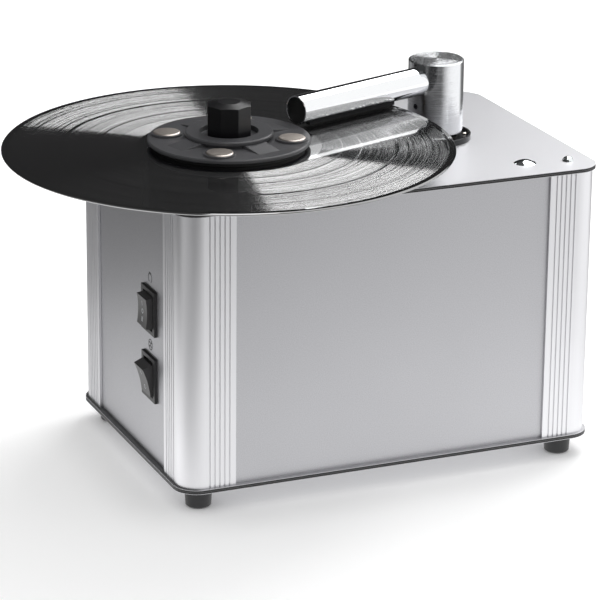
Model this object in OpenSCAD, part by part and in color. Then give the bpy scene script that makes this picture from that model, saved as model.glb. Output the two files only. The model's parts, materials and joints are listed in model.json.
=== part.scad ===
// Record cleaning machine: a metal-clad case with a turning platter, a record clamp and a suction arm.
// Millimetres, +Z up, the feet stand on z = 0. The origin is under the middle of the whole outline.

/* [Case] */
// Width of the top and bottom plates
case_w = 310; // [300:1:340]
// Depth of the top and bottom plates
case_d = 210; // [206:1:240]
// Height of the corner posts between the plates
post_h = 192; // [188:1:220]
// Thickness of a plate, core and both skins
plate_t = 3; // [2.5:0.1:4]
// Thickness of one metal skin of a plate
skin_t = 0.3; // [0.2:0.05:0.5]
// Corner radius of the plates
plate_corner_r = 17; // [12:0.5:22]
// Setback of the posts from the edge of the plates
post_inset = 2; // [1:0.1:3]
// Length of each leg of a corner post
post_leg = 37.7; // [34:0.1:42]
// Outer corner radius of a post
post_corner_r = 15; // [10:0.5:16]
// Wall of a post
post_wall = 2; // [1.6:0.1:2.4]
// Grooves on each leg of a post
groove_count = 5; // [3:1:5]
// Distance between two grooves
groove_pitch = 3.55; // [3:0.05:3.8]
// Width of a groove
groove_w = 1; // [0.6:0.1:1.4]
// Depth of a groove
groove_depth = 0.8; // [0.4:0.1:1]
// Distance from the last groove to the end of the leg
groove_end = 4.7; // [4:0.1:6]
// Thickness of a side panel
panel_t = 2; // [1.5:0.1:2.5]
// Depth of the slot in a post that holds a panel
slot_depth = 8; // [5:0.5:9]
// Radius of the screw boss inside a post
boss_r = 5; // [4:0.1:5.5]

/* [Feet] */
// Height of a foot
foot_h = 15; // [10:0.5:20]
// Radius of a foot at the floor
foot_r = 8.8; // [7:0.1:11]
// Radius of a foot at the case
foot_top_r = 9.8; // [8:0.1:12]
// Distance of a foot's axis from the plate edges
foot_inset = 19; // [14:0.5:26]

/* [Platter and record] */
// Spindle axis, from the left edge of the case
spindle_in_x = 50.5; // [47:0.5:57]
// Spindle axis, from the front edge of the case
spindle_in_y = 43; // [40:0.5:49]
// Radius of the pin that a record drops over
spindle_r = 3.55; // [3.4:0.05:3.6]
// Height of the threaded pin above the record
spindle_rise = 21; // [18:0.5:24]
// Radius of the shaft in its bearing
shaft_r = 5; // [4:0.1:6]
// Radius of the platter, which carries the record by its label
platter_r = 50; // [46:0.5:54]
// Thickness of the platter
platter_t = 10; // [6:0.5:12]
// Gap between the top plate and the underside of the platter
platter_gap = 17.2; // [14:0.1:24]
// Thickness of the platter mat
mat_t = 2; // [1.5:0.1:3]
// Radius of the record
record_r = 150.75; // [150:0.05:151.5]
// Thickness of the record
record_t = 1.6; // [1.2:0.1:2.2]

/* [Clamp] */
// Radius of the clamp disc
clamp_r = 54.3; // [52:0.1:56]
// Thickness of the clamp disc at its rim
clamp_t = 3.2; // [2.5:0.1:4]
// Thickness of the rubber under the clamp disc
gasket_t = 2.3; // [1.5:0.1:3]
// Radius of the rubber under the clamp disc
gasket_r = 51; // [48:0.1:51.5]
// Radius of the hub ring
hub_r = 29.4; // [28:0.1:30]
// Height of the hub ring above the disc
hub_h = 4.7; // [4:0.1:6]
// Radius of the recess in the hub
hub_bore_r = 19.5; // [18:0.1:21]
// Radius of a weight disc let into the clamp
weight_r = 9.1; // [8:0.1:9.5]
// Distance of the weight discs from the spindle axis
weight_ring_r = 41.9; // [40.5:0.1:42.5]
// Angle of the first weight disc, from the right
weight_angle = -30; // [-40:1:-20]
// Radius of the knob over its eight corners
knob_r = 15.4; // [13:0.1:16.5]
// Height of the knob above the hub ring
knob_h = 19.9; // [15:0.1:24]

/* [Suction arm] */
// Arm axis, from the spindle towards the right
arm_dx = 180.7; // [177:0.1:184]
// Arm axis, from the spindle towards the back
arm_dy = 63.3; // [60:0.1:68]
// Radius of the arm column
column_r = 19.5; // [18:0.1:20]
// Height of the arm column
column_h = 51.7; // [48:0.1:56]
// Gap between the top plate and the raised column
column_rise = 5.8; // [5.2:0.1:7]
// How far the arm can be pressed down
arm_travel = 1.8; // [1:0.1:1.8]
// Outer radius of the suction tube
tube_r = 10; // [9:0.1:10.5]
// Wall of the suction tube
tube_wall = 1; // [0.8:0.1:1.5]
// Gap between the clamp and the tube's open end, seen from above
tube_gap = 5.4; // [4:0.1:9]
// Depth of the tube's axis under the top of the column
tube_drop = 13.7; // [13:0.1:15]
// Radius of the dish round the column
flange_r = 25.5; // [25:0.1:27]
// Height of the dish round the column
flange_h = 3.8; // [3:0.1:4]
// Outer radius of the lift sleeve
sleeve_r = 12; // [11:0.1:12.5]

/* [Plugs] */
// Drain plug, from the right edge of the case
drain_in_x = 47.5; // [43:0.5:53]
// Drain plug, from the front edge of the case
drain_in_y = 26.7; // [23:0.1:35]
// Radius of the drain plug's dome
drain_r = 7.8; // [7.5:0.1:9]
// Height of the drain plug's dome
drain_dome_h = 2.4; // [1.5:0.1:4]
// Vent plug, from the right edge of the case
vent_in_x = 17.3; // [16:0.1:25]
// Vent plug, from the front edge of the case
vent_in_y = 21.4; // [19:0.1:29]
// Radius of the vent plug's dome
vent_r = 4.1; // [4:0.1:5]
// Height of the vent plug's dome
vent_dome_h = 3.2; // [2:0.1:4]

/* [Switches] */
// Middle of the switches, from the front edge of the case
switch_in_y = 70; // [67:0.5:85]
// Height of the motor switch above the floor
motor_switch_z = 125; // [118:0.5:132]
// Height of the suction switch above the floor
vacuum_switch_z = 77; // [60:0.5:84]
// Width of a switch bezel
bezel_w = 25.5; // [25:0.1:27]
// Height of a switch bezel
bezel_h = 31.5; // [31:0.1:33]
// Thickness of a switch bezel
bezel_t = 2; // [1.5:0.1:2.5]
// Width of a rocker
rocker_w = 17.5; // [15:0.1:17.8]
// Height of a rocker's face
rocker_h = 21; // [18:0.1:21.5]
// How far a level rocker's ends stand out of the panel
rocker_out = 6.5; // [5.5:0.1:7]
// Tilt of a rocker that is switched over
rocker_tilt = 15; // [10:1:16]

/* [Tank and blower] */
// Distance from the arm axis to the tank's left side
tank_reach = 38.2; // [34:0.1:42]
// Gap between the tank and the right panel
tank_gap_x = 3; // [2:0.5:6]
// Gap between the tank and the front and back panels
tank_gap_y = 4; // [3:0.5:8]
// Gap between the blower housing and the tank above it
tank_gap_z = 12; // [10:1:18]
// Wall of the waste tank
tank_wall = 2.5; // [2:0.1:3]
// Gap between the blower housing and the right and back panels
blower_gap = 5; // [3:0.5:7]
// Radius of the blower housing
blower_r = 44; // [42:0.5:45]
// Radius of the impeller
impeller_r = 38; // [34:0.5:39]
// Blades on the impeller
blade_count = 12; // [6:1:16]

/* [Hidden] */
$fn = 96;

// Clearances: parts that are pressed together, that slide, and that only pass each other
press_gap = 0.02;
slide_gap = 0.05;
pass_gap = 0.3;
tiny = 0.01;

// Heights above the floor
bottom_z = foot_h;
post_z = bottom_z + plate_t;
top_z = post_z + post_h;
deck_z = top_z + plate_t;
platter_z = deck_z + platter_gap;
mat_z = platter_z + platter_t;
record_z = mat_z + mat_t;
face_z = record_z + record_t;

// Platter: its hub, its rim's wall, the mat's setback and the step from the shaft to the pin
platter_hub_r = 18;
platter_hub_h = 9;
platter_wall = 5;
mat_edge = 0.5;
pin_step = 3;
pin_tip = 1.2;

// Axes of the spindle, the arm and the plugs, from the middle of the case
spindle_x = spindle_in_x - case_w / 2;
spindle_y = spindle_in_y - case_d / 2;
arm_x = spindle_x + arm_dx;
arm_y = spindle_y + arm_dy;
drain_x = case_w / 2 - drain_in_x;
drain_y = drain_in_y - case_d / 2;
vent_x = case_w / 2 - vent_in_x;
vent_y = vent_in_y - case_d / 2;

// The whole outline reaches from the record's far side to the plates' far side
left_x = min(spindle_x - record_r, -case_w / 2);
front_y = min(spindle_y - record_r, -case_d / 2);
case_at = [-(left_x + case_w / 2) / 2, -(front_y + case_d / 2) / 2, 0];

// The posts' outer faces and the panels' outer faces, from the middle of the case
post_x = case_w / 2 - post_inset;
post_y = case_d / 2 - post_inset;
panel_x = post_x - post_wall;
panel_y = post_y - post_wall;
boss_at = 9;
screw_r = 2;
head_r = 3.6;
head_edge = 0.2;
screw_len = 14;
stud_h = 1.8;
nut_r = 3.4;
foot_recess_r = 5.2;
foot_recess_h = 6;
slot_gap = 0.1;
slot_w = panel_t + 2 * slot_gap;

// Clamp heights
clamp_z = face_z + gasket_t;
clamp_top_z = clamp_z + clamp_t;
hub_top_z = clamp_top_z + hub_h;
knob_top_z = hub_top_z + knob_h;
pin_top_z = face_z + spindle_rise;
weight_sink = 1;
web_w = 17;
web_len = 15;
web_in = 4;
hub_seat = 2.4;
hub_lip = 2.9;
hub_floor_t = 1.2;
hub_hole_r = hub_bore_r - 9;
disc_hole_r = hub_bore_r - 6;
gasket_hole_r = 20;
knob_rise = 1.5;
knob_flat_r = 7.6;
knob_fall = 0.25;
insert_r = 6;
insert_h = 11.9;

// Arm heights, and the way the tube points: at the spindle
column_z = deck_z + column_rise;
column_top_z = column_z + column_h;
tube_z = column_top_z - tube_drop;
tube_angle = atan2(spindle_y - arm_y, spindle_x - arm_x);
arm_to_spindle = norm([arm_dx, arm_dy]);
tube_len = arm_to_spindle - clamp_r - tube_gap;
sleeve_top_gap = 2.6;
sleeve_wall = 2.5;
sleeve_top_z = tube_z - tube_r - sleeve_top_gap;
sleeve_bore_r = sleeve_r - sleeve_wall;
bush_wall = 4;
bush_flange_w = 5;
bush_flange_t = 3.9;
bush_lip = 1.2;
bush_r = sleeve_r + bush_wall;
bush_flange_r = bush_r + bush_flange_w;
collar_w = 3.5;
collar_t = 3;
collar_r = sleeve_r + collar_w;
collar_gap = 0.5;
collar_top_z = top_z - bush_flange_t - collar_gap;
pan_floor_t = 1.4;
flange_screw_len = plate_t + pan_floor_t - 0.1;
flange_rim = 1.5;
flange_screw_r = (column_r + flange_r - flange_rim) / 2;
flange_stem_r = 1;

// Waste tank: its lid hangs clear under the arm's bush
lid_t = 3;
lid_drop = 11;
lid_top_z = top_z - lid_drop;
lid_z = lid_top_z - lid_t;
tank_right = panel_x - panel_t - tank_gap_x;
tank_w = tank_right - arm_x + tank_reach;
tank_d = 2 * (panel_y - panel_t - tank_gap_y);
tank_x = tank_right - tank_w / 2;
tank_floor_t = 3;
boss_room = 3.5;
drain_hole_r = 6.4;
drain_stem_r = 5.6;
drain_stem_len = 15;
drain_neck_wall = 2.5;
vent_hole_r = 3.2;
vent_stem_r = 2.8;
vent_stem_len = 14;
vent_neck_wall = 1.6;
cup_gap = 1.5;
cup_wall = 2.5;
cup_depth = 26;
cup_floor_t = 3;
cup_r = collar_r + cup_gap;
cup_floor_z = lid_top_z - cup_depth;
sleeve_below = 20;
sleeve_z = cup_floor_z - sleeve_below;

// Return spring between the cup's floor and the sleeve's collar
spring_wire_r = 0.7;
spring_r = (sleeve_r + cup_r) / 2;
spring_turns = 6;
spring_gap = 0.2;
spring_z = cup_floor_z + cup_floor_t + spring_wire_r + spring_gap;
spring_h = collar_top_z - collar_t - spring_wire_r - spring_gap - spring_z;
spring_steps = 12;
spring_sides = 8;

// Grub screw under the tube
grub_r = 2;
grub_drop = 8;
grub_z = tube_z - tube_r - grub_drop;

// Suction slot and its pads, under the part of the tube that lies over the grooves
slot_rim = 4;
slot_end = 8;
slot_from = arm_to_spindle - record_r + slot_rim;
slot_to = tube_len - slot_end;
suction_slot_w = 3;
end_plug_in = 7;
end_plug_len = 4;
pad_w = 3.5;
pad_out = 0.8;

// Depths of the drain plug's seals under the deck, their rings and their grooves
seal_at = [8, 12];
seal_r = 0.5;
seal_in = 0.2;
seal_groove_r = 0.7;

// Blower: its axis, its motor on a rubber mount and its scroll housing with a duct to the back
blower_x = panel_x - panel_t - blower_gap - blower_r;
blower_y = panel_y - panel_t - blower_gap - blower_r;
mount_h = 6;
mount_out = 2;
mount_in = 8;
blower_motor_z = post_z + mount_h;
blower_motor_r = 30;
blower_motor_h = 36;
vent_count = 12;
vent_slot_w = 3;
vent_slot_h = 14;
vent_slot_z = 8;
blower_shaft_r = 4;
blower_shaft_in = 7.5;
scroll_z = blower_motor_z + blower_motor_h;
scroll_h = 38;
scroll_wall = 2.5;
inlet_r = 12;
inlet_bore_r = 10;
riser_gap = 7;
duct_w = 28;
duct_edge = 6;
duct_in = 4;
duct_h = scroll_h - 2 * duct_edge;
duct_x = blower_x - blower_r + duct_in;
duct_z = scroll_z + duct_edge;
tank_z = scroll_z + scroll_h + tank_gap_z;
tank_h = lid_z - tank_z;
impeller_rise = 5;
impeller_disc_t = 1.6;
blade_t = 1.4;
blade_from = 13;
blade_h = 16;
impeller_stub_h = 14;
impeller_z = scroll_z + impeller_rise;

// Drive under the spindle
bearing_wall = 5;
bearing_flange_w = 11;
bearing_flange_t = 3;
bearing_len = 14;
shaft_below = 12;
shaft_gap = 1;
bearing_r = shaft_r + bearing_wall;
bearing_flange_r = shaft_r + bearing_flange_w;
bearing_z = top_z - bearing_len;
shaft_z = bearing_z - shaft_below;
shaft_edge = 0.5;
shoulder_w = 3;
coupling_r = 9;
coupling_h = 18;
coupling_z = shaft_z - coupling_h / 2 + shaft_gap;
motor_shaft_r = 3;
gear_shaft_in = 10;
bracket_w = 48;
bracket_d = 44;
bracket_t = 3;
bracket_gap = 4;
bracket_hole_gap = 2;
bracket_z = coupling_z - bracket_gap;
gearbox_r = 29;
gearbox_h = 26;
drive_motor_r = 17;
drive_motor_h = 28;
drive_cap_r = 5;
drive_cap_h = 4;
standoff_r = 3;
standoff_stud_r = 1.5;
standoff_end = 4;
standoff_in = 5;
standoff_x = bracket_w / 2 - standoff_in;
standoff_y = bracket_d / 2 - standoff_in;

// Switch bodies behind the bezels
switch_y = switch_in_y - case_d / 2;
body_w = 21.6;
body_h = 27.6;
body_depth = 22;
cut_gap = 0.2;
cavity_h = 26;
cavity_depth = 13;
pivot_r = 1.5;
terminal_w = 6;
terminal_t = 0.8;
terminal_len = 7;
terminal_pitch = 8;
rocker_hollow = 0.9;
rocker_step = 3;
rocker_heel = 7;
rocker_heel_h = 4;

// Power inlet on the back panel
inlet_in_x = 85;
inlet_x = inlet_in_x - case_w / 2;
inlet_z = 46;
inlet_w = 27;
inlet_h = 20;
inlet_flange_w = 46;
inlet_flange_h = 24;
inlet_flange_t = 2;
inlet_depth = 18;
inlet_back_t = 3;
inlet_hole_x = 18.5;
inlet_hole_r = 1.6;
socket_w = 22;
socket_h = 15;
blade_pitch = 6.5;
blade_drop = 2;
pin_w = 2;
pin_h = 4;
pin_len = 12;

// Circuit board: its pillars, a row of relays, a coil and a capacitor
board_gap = 21;
board_w = 76;
board_d = 56;
board_t = 1.6;
board_rise = 5;
board_x = -25;
board_y = panel_y - panel_t - board_gap - board_d / 2;
pillar_r = 3;
pillar_in = 4;
relay_w = 11;
relay_d = 10;
relay_h = 12;
relay_pitch = 15;
relay_edge = 3;
coil_x = -14;
coil_y = -6;
coil_w = 20;
coil_d = 16;
coil_h = 15;
capacitor_x = 14;
capacitor_y = -8;
capacitor_r = 9;
capacitor_h = 22;

// Wires: the joint beside the board, and the room that a run leaves round what it passes or meets
wire_r = 2.2;
wire_bend = 1.02;
wire_z = post_z + 6;
joint_out = 8;
wire_end = 0.4;
switch_turn = 12;
motor_low_z = bracket_z - gearbox_h - drive_motor_h - drive_cap_h;
under_motor_z = motor_low_z - 8;
inlet_wire_x = inlet_x - 6;
inlet_turn_x = inlet_x - 20;
inlet_turn_y = 30;
inlet_wire_y = 26;
blower_turn = 14;
board_turn = 10;

// Places the case-centred drawing in the part's own frame
module in_frame() {
    translate(case_at) children();
}

// Outline of a plate with round corners
module plate_outline() {
    r = plate_corner_r;
    x = case_w / 2 - r;
    y = case_d / 2 - r;
    square([2 * x, case_d], center = true);
    square([case_w, 2 * y], center = true);
    for (sx = [-1, 1], sy = [-1, 1]) translate([sx * x, sy * y]) circle(r = r);
}

module ring(r_out, r_in, h) {
    difference() {
        cylinder(r = r_out, h = h);
        translate([0, 0, -1]) cylinder(r = r_in, h = h + 2);
    }
}

// Four copies, one in each corner of the case
module at_corners(x, y) {
    for (sx = [-1, 1], sy = [-1, 1]) translate([sx * x, sy * y, 0]) children();
}

// Everything that passes through the top plate
module deck_holes(h) {
    translate([spindle_x, spindle_y, -1]) cylinder(r = bearing_r + press_gap, h = h + 2);
    translate([arm_x, arm_y, -1]) cylinder(r = bush_r + press_gap, h = h + 2);
    translate([drain_x, drain_y, -1]) cylinder(r = drain_hole_r, h = h + 2);
    translate([vent_x, vent_y, -1]) cylinder(r = vent_hole_r, h = h + 2);
    translate([arm_x, arm_y, -1]) at_flange_screws() cylinder(r = flange_stem_r + press_gap, h = h + 2);
    translate([spindle_x, spindle_y, -1]) at_corners(standoff_x, standoff_y)
        cylinder(r = standoff_stud_r + press_gap, h = 1 + stud_h + press_gap);
    translate([0, 0, -1]) at_corners(post_x - boss_at, post_y - boss_at)
        cylinder(r = screw_r + press_gap, h = 1 + stud_h + press_gap);
}

module top_layer(z, h) {
    translate([0, 0, z]) difference() {
        linear_extrude(h) plate_outline();
        deck_holes_at(z, h);
    }
}

// The holes of deck_holes, cut to one layer of the plate
module deck_holes_at(z, h) {
    translate([0, 0, top_z - z]) deck_holes(plate_t);
}

module bottom_layer(z, h) {
    translate([0, 0, z]) difference() {
        linear_extrude(h) plate_outline();
        translate([0, 0, bottom_z - z]) at_corners(post_x - boss_at, post_y - boss_at) countersunk(press_gap);
        at_corners(case_w / 2 - foot_inset, case_d / 2 - foot_inset)
            translate([0, 0, -1]) cylinder(r = screw_r + press_gap, h = h + 2);
    }
}

// Countersunk screw through the bottom plate, from its underside up
module countersunk(gap) {
    rotate_extrude() polygon([
        [0, -gap], [head_r + gap, -gap], [head_r + gap, head_edge],
        [screw_r + gap, head_edge + head_r - screw_r],
        [screw_r + gap, plate_t + screw_len], [0, plate_t + screw_len]]);
}

module top_plate_core() {
    color("#1c1c1c") in_frame() top_layer(top_z + skin_t, plate_t - 2 * skin_t);
}

module top_plate_skins() {
    color("#d8d9db") in_frame() {
        top_layer(top_z, skin_t);
        top_layer(deck_z - skin_t, skin_t);
    }
}

module bottom_plate_core() {
    color("#1c1c1c") in_frame() bottom_layer(bottom_z + skin_t, plate_t - 2 * skin_t);
}

module bottom_plate_skins() {
    color("#c4c6c8") in_frame() {
        bottom_layer(bottom_z, skin_t);
        bottom_layer(post_z - skin_t, skin_t);
    }
}

// Section of the corner post whose outer corner is at the origin, its legs along +X and +Y
module post_section() {
    thick = post_wall + slot_w + post_wall - slot_gap;
    difference() {
        union() {
            post_legs(0, post_leg, post_corner_r);
            translate([boss_at, boss_at]) circle(r = boss_r);
        }
        difference() {
            post_legs(thick, 2 * post_leg, post_corner_r - thick);
            translate([boss_at, boss_at]) circle(r = boss_r);
        }
        for (turn = [0, 1]) mirror([turn, -turn]) {
            translate([post_leg - slot_depth, post_wall - slot_gap]) square([slot_depth + 1, slot_w]);
            for (i = [0 : groove_count - 1])
                translate([post_leg - groove_end - i * groove_pitch - groove_w / 2, -1])
                    square([groove_w, 1 + groove_depth]);
        }
        translate([boss_at, boss_at]) circle(r = screw_r + press_gap);
    }
}

// A square reaching from (a, a) to the end of the legs, with its outer corner rounded
module post_legs(a, leg, r) {
    difference() {
        translate([a, a]) square([leg - a, leg - a]);
        translate([a, a]) difference() {
            translate([-1, -1]) square([r + 1, r + 1]);
            translate([r, r]) circle(r = r);
        }
    }
}

module corner_post(sx, sy) {
    color("#cfd0d3") in_frame() translate([sx * post_x, sy * post_y, post_z])
        mirror([sx > 0 ? 1 : 0, 0, 0]) mirror([0, sy > 0 ? 1 : 0, 0]) linear_extrude(post_h) post_section();
}

module post_front_left() { corner_post(-1, -1); }
module post_front_right() { corner_post(1, -1); }
module post_back_left() { corner_post(-1, 1); }
module post_back_right() { corner_post(1, 1); }

// Length of a panel that reaches into the slots of two posts
function panel_len(outer) = 2 * (outer - post_leg + slot_depth - slot_gap);

module wide_panel(side) {
    w = panel_len(post_x);
    translate([-w / 2, side > 0 ? panel_y - panel_t : -panel_y, post_z]) cube([w, panel_t, post_h]);
}

module narrow_panel(side) {
    d = panel_len(post_y);
    translate([side > 0 ? panel_x - panel_t : -panel_x, -d / 2, post_z]) cube([panel_t, d, post_h]);
}

module front_panel() {
    color("#a9abad") in_frame() wide_panel(-1);
}

module back_panel() {
    color("#a9abad") in_frame() difference() {
        wide_panel(1);
        translate([inlet_x, panel_y, inlet_z])
            cube([inlet_w + 2 * cut_gap, 3 * panel_t, inlet_h + 2 * cut_gap], center = true);
        translate([duct_x + duct_w / 2, panel_y, duct_z + duct_h / 2])
            cube([duct_w - 2 * scroll_wall, 3 * panel_t, duct_h - 2 * scroll_wall], center = true);
    }
}

module left_panel() {
    color("#9d9fa3") in_frame() difference() {
        narrow_panel(-1);
        for (z = [motor_switch_z, vacuum_switch_z]) translate([-panel_x, switch_y, z])
            cube([3 * panel_t, body_w + 2 * cut_gap, body_h + 2 * cut_gap], center = true);
    }
}

module right_panel() {
    color("#a9abad") in_frame() narrow_panel(1);
}

// Rubber feet, each with a recess for its screw's head
module feet() {
    color("#161616") in_frame() at_corners(case_w / 2 - foot_inset, case_d / 2 - foot_inset)
        rotate_extrude() polygon([
            [screw_r + 0.2, foot_h], [foot_top_r, foot_h], [foot_r, 1], [foot_r - 1, 0],
            [foot_recess_r, 0], [foot_recess_r, foot_recess_h], [screw_r + 0.2, foot_recess_h]]);
}

// Screws up through the feet and the bottom plate, each with its nut
module foot_screws() {
    color("#b9bcc0") in_frame() at_corners(case_w / 2 - foot_inset, case_d / 2 - foot_inset)
        translate([0, 0, foot_recess_h]) {
            difference() {
                translate([0, 0, -3]) cylinder(r = foot_recess_r - 1.2, h = 3);
                translate([0, 0, -4]) cylinder(r = 1.6, h = 2.8, $fn = 6);
            }
            translate([0, 0, -tiny]) cylinder(r = screw_r, h = post_z + 5 - foot_recess_h + tiny);
            translate([0, 0, post_z - foot_recess_h]) ring(nut_r, screw_r + press_gap, 3);
        }
}

// Countersunk screws up into the posts, and studs down into them from the top plate
module post_screws() {
    color("#b9bcc0") in_frame() at_corners(post_x - boss_at, post_y - boss_at) {
        translate([0, 0, bottom_z]) countersunk(0);
        translate([0, 0, top_z - screw_len]) cylinder(r = screw_r, h = screw_len + stud_h);
    }
}

module spindle_bearing() {
    color("#b08d4a") in_frame() translate([spindle_x, spindle_y, 0]) difference() {
        union() {
            translate([0, 0, bearing_z]) cylinder(r = bearing_r, h = deck_z - bearing_z + tiny);
            translate([0, 0, deck_z]) cylinder(r = bearing_flange_r, h = bearing_flange_t);
        }
        translate([0, 0, bearing_z - 1])
            cylinder(r = shaft_r + slide_gap, h = deck_z - bearing_z + bearing_flange_t + 2);
    }
}

// Drive shaft with a shoulder under the platter and the record pin on top
module spindle() {
    shoulder_z = deck_z + bearing_flange_t + pass_gap;
    color("#b7babd") in_frame() translate([spindle_x, spindle_y, 0]) rotate_extrude() polygon([
        [0, shaft_z], [shaft_r - shaft_edge, shaft_z], [shaft_r, shaft_z + shaft_edge],
        [shaft_r, shoulder_z], [shaft_r + shoulder_w, shoulder_z],
        [shaft_r + shoulder_w, platter_z - platter_hub_h], [shaft_r, platter_z - platter_hub_h],
        [shaft_r, mat_z - pin_step], [spindle_r, mat_z - pin_step],
        [spindle_r, pin_top_z - pin_tip], [spindle_r - pin_tip, pin_top_z], [0, pin_top_z]]);
}

module platter() {
    color("#2a2a2c") in_frame() translate([spindle_x, spindle_y, 0]) difference() {
        union() {
            translate([0, 0, platter_z]) cylinder(r = platter_r, h = platter_t);
            translate([0, 0, platter_z - platter_hub_h])
                cylinder(r = platter_hub_r, h = platter_hub_h + tiny);
        }
        translate([0, 0, platter_z - platter_hub_h - 1])
            cylinder(r = shaft_r + press_gap, h = 1 + platter_hub_h + platter_t - pin_step + press_gap);
        translate([0, 0, platter_z]) cylinder(r = spindle_r + press_gap, h = platter_t + 1);
        translate([0, 0, platter_z - 1])
            ring(platter_r - platter_wall, platter_hub_r + platter_wall, 1 + platter_t / 2);
    }
}

module platter_mat() {
    color("#1b1b1b") in_frame() translate([spindle_x, spindle_y, mat_z])
        ring(platter_r - mat_edge, spindle_r + press_gap, mat_t);
}

// The record lies loose on the mat, with a raised rim and label as pressed discs have
module record() {
    hole = spindle_r + 0.07;
    dip = 0.2;
    label_r = 50;
    slope = 2;
    rim = 3;
    round = 0.6;
    under = [[hole, 0], [label_r, 0], [label_r + slope, dip], [record_r - rim - slope, dip],
        [record_r - rim, 0], [record_r - round, 0], [record_r, round]];
    over = [for (i = [len(under) - 1 : -1 : 0]) [under[i][0], record_t - under[i][1]]];
    color("#0d0d0e") in_frame() translate([spindle_x, spindle_y, record_z])
        rotate_extrude() polygon(concat(under, over));
}

module shaft_coupling() {
    color("#c9cbce") in_frame() translate([spindle_x, spindle_y, coupling_z]) difference() {
        cylinder(r = coupling_r, h = coupling_h);
        translate([0, 0, -1]) cylinder(r = motor_shaft_r + press_gap, h = coupling_h);
        translate([0, 0, shaft_z - coupling_z]) cylinder(r = shaft_r + press_gap, h = coupling_h);
    }
}

// Output shaft of the gearbox, gripped in the coupling
module gear_shaft() {
    color("#b7babd") in_frame() translate([spindle_x, spindle_y, bracket_z - gear_shaft_in])
        cylinder(r = motor_shaft_r, h = shaft_z - 1 - bracket_z + gear_shaft_in);
}

// Gearbox and motor, hung under the bracket
module gearmotor() {
    color("#8f9296") in_frame() translate([spindle_x, spindle_y, bracket_z]) difference() {
        gearmotor_body();
        translate([0, 0, -gear_shaft_in - pass_gap])
            cylinder(r = motor_shaft_r + slide_gap, h = gear_shaft_in + pass_gap + 1);
        translate([0, 0, -standoff_end - press_gap]) at_corners(standoff_x, standoff_y)
            cylinder(r = standoff_stud_r + press_gap, h = standoff_end + 1);
    }
}

module gearmotor_body() {
    union() {
        translate([0, 0, -gearbox_h]) cylinder(r = gearbox_r, h = gearbox_h);
        translate([0, 0, -gearbox_h - drive_motor_h])
            cylinder(r = drive_motor_r, h = drive_motor_h + tiny);
        translate([0, 0, -gearbox_h - drive_motor_h - drive_cap_h])
            cylinder(r = drive_cap_r, h = drive_cap_h + 1);
    }
}

module motor_bracket() {
    color("#a5a8ab") in_frame() translate([spindle_x, spindle_y, bracket_z]) difference() {
        translate([-bracket_w / 2, -bracket_d / 2, 0]) cube([bracket_w, bracket_d, bracket_t]);
        translate([0, 0, -1]) cylinder(r = coupling_r + bracket_hole_gap, h = bracket_t + 2);
        translate([0, 0, -1]) at_corners(standoff_x, standoff_y)
            cylinder(r = standoff_stud_r + press_gap, h = bracket_t + 2);
    }
}

// Pillars from the top plate down to the bracket, each with a stud at both ends
module bracket_standoffs() {
    low = bracket_z - standoff_end;
    color("#c2c4c7") in_frame() translate([spindle_x, spindle_y, 0]) at_corners(standoff_x, standoff_y) {
        translate([0, 0, bracket_z + bracket_t]) cylinder(r = standoff_r, h = top_z - bracket_z - bracket_t);
        translate([0, 0, low]) cylinder(r = standoff_stud_r, h = top_z + stud_h - low);
    }
}

// Places the clamp's parts on the spindle axis, at a height above the floor
module on_spindle(z) {
    in_frame() translate([spindle_x, spindle_y, z]) children();
}

module at_weights() {
    for (i = [0 : 3]) rotate(weight_angle + 90 * i) translate([weight_ring_r, 0, 0]) children();
}

// Webs that run from the hub down to the disc, half way between the weights
module clamp_webs() {
    web_h = hub_h - 2.6;
    for (i = [0 : 3]) rotate(weight_angle + 45 + 90 * i) translate([0, web_w / 2, clamp_t - tiny])
        rotate([90, 0, 0]) linear_extrude(web_w)
        polygon([[hub_r - web_in, 0], [hub_r + web_len, 0], [hub_r, web_h], [hub_r - web_in, web_h]]);
}

module clamp_disc() {
    color("#2b2b2d") on_spindle(clamp_z) difference() {
        union() {
            rotate_extrude() polygon([
                [disc_hole_r, 0], [clamp_r - 1.4, 0], [clamp_r, 0.9], [clamp_r, clamp_t - 0.7],
                [clamp_r - 0.7, clamp_t], [disc_hole_r, clamp_t]]);
            difference() {
                clamp_webs();
                translate([0, 0, clamp_t - 1]) cylinder(r = hub_r - hub_seat + 0.1, h = hub_h + 2);
                translate([0, 0, clamp_t + hub_h - hub_lip - 0.1]) cylinder(r = hub_r + 0.1, h = hub_h);
            }
            translate([0, 0, clamp_t - tiny]) at_weights() cylinder(r = weight_r + 1.5, h = 1.4 + tiny);
        }
        translate([0, 0, clamp_t - weight_sink]) at_weights()
            cylinder(r = weight_r + press_gap, h = clamp_t + hub_h);
    }
}

module clamp_gasket() {
    color("#121212") on_spindle(face_z) ring(gasket_r, gasket_hole_r, gasket_t);
}

// Hub ring, its neck seated on the disc inside the webs and its floor with a hole for the pin
module clamp_hub() {
    neck_r = hub_r - hub_seat;
    lip_h = hub_h - hub_lip;
    color("#303033") on_spindle(clamp_top_z) rotate_extrude() polygon([
        [hub_hole_r, 0], [neck_r, 0], [neck_r, lip_h], [hub_r - 0.5, lip_h],
        [hub_r, lip_h + 0.5], [hub_r, hub_h - 0.7], [hub_r - 0.7, hub_h], [hub_bore_r, hub_h],
        [hub_bore_r, hub_floor_t], [hub_hole_r, hub_floor_t]]);
}

module clamp_weights() {
    color("#c9c2bb") on_spindle(clamp_top_z - weight_sink) at_weights() rotate_extrude() polygon([
        [0, 0], [weight_r, 0], [weight_r, 2.6], [weight_r - 0.7, 3.2], [0, 3.4]]);
}

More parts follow.
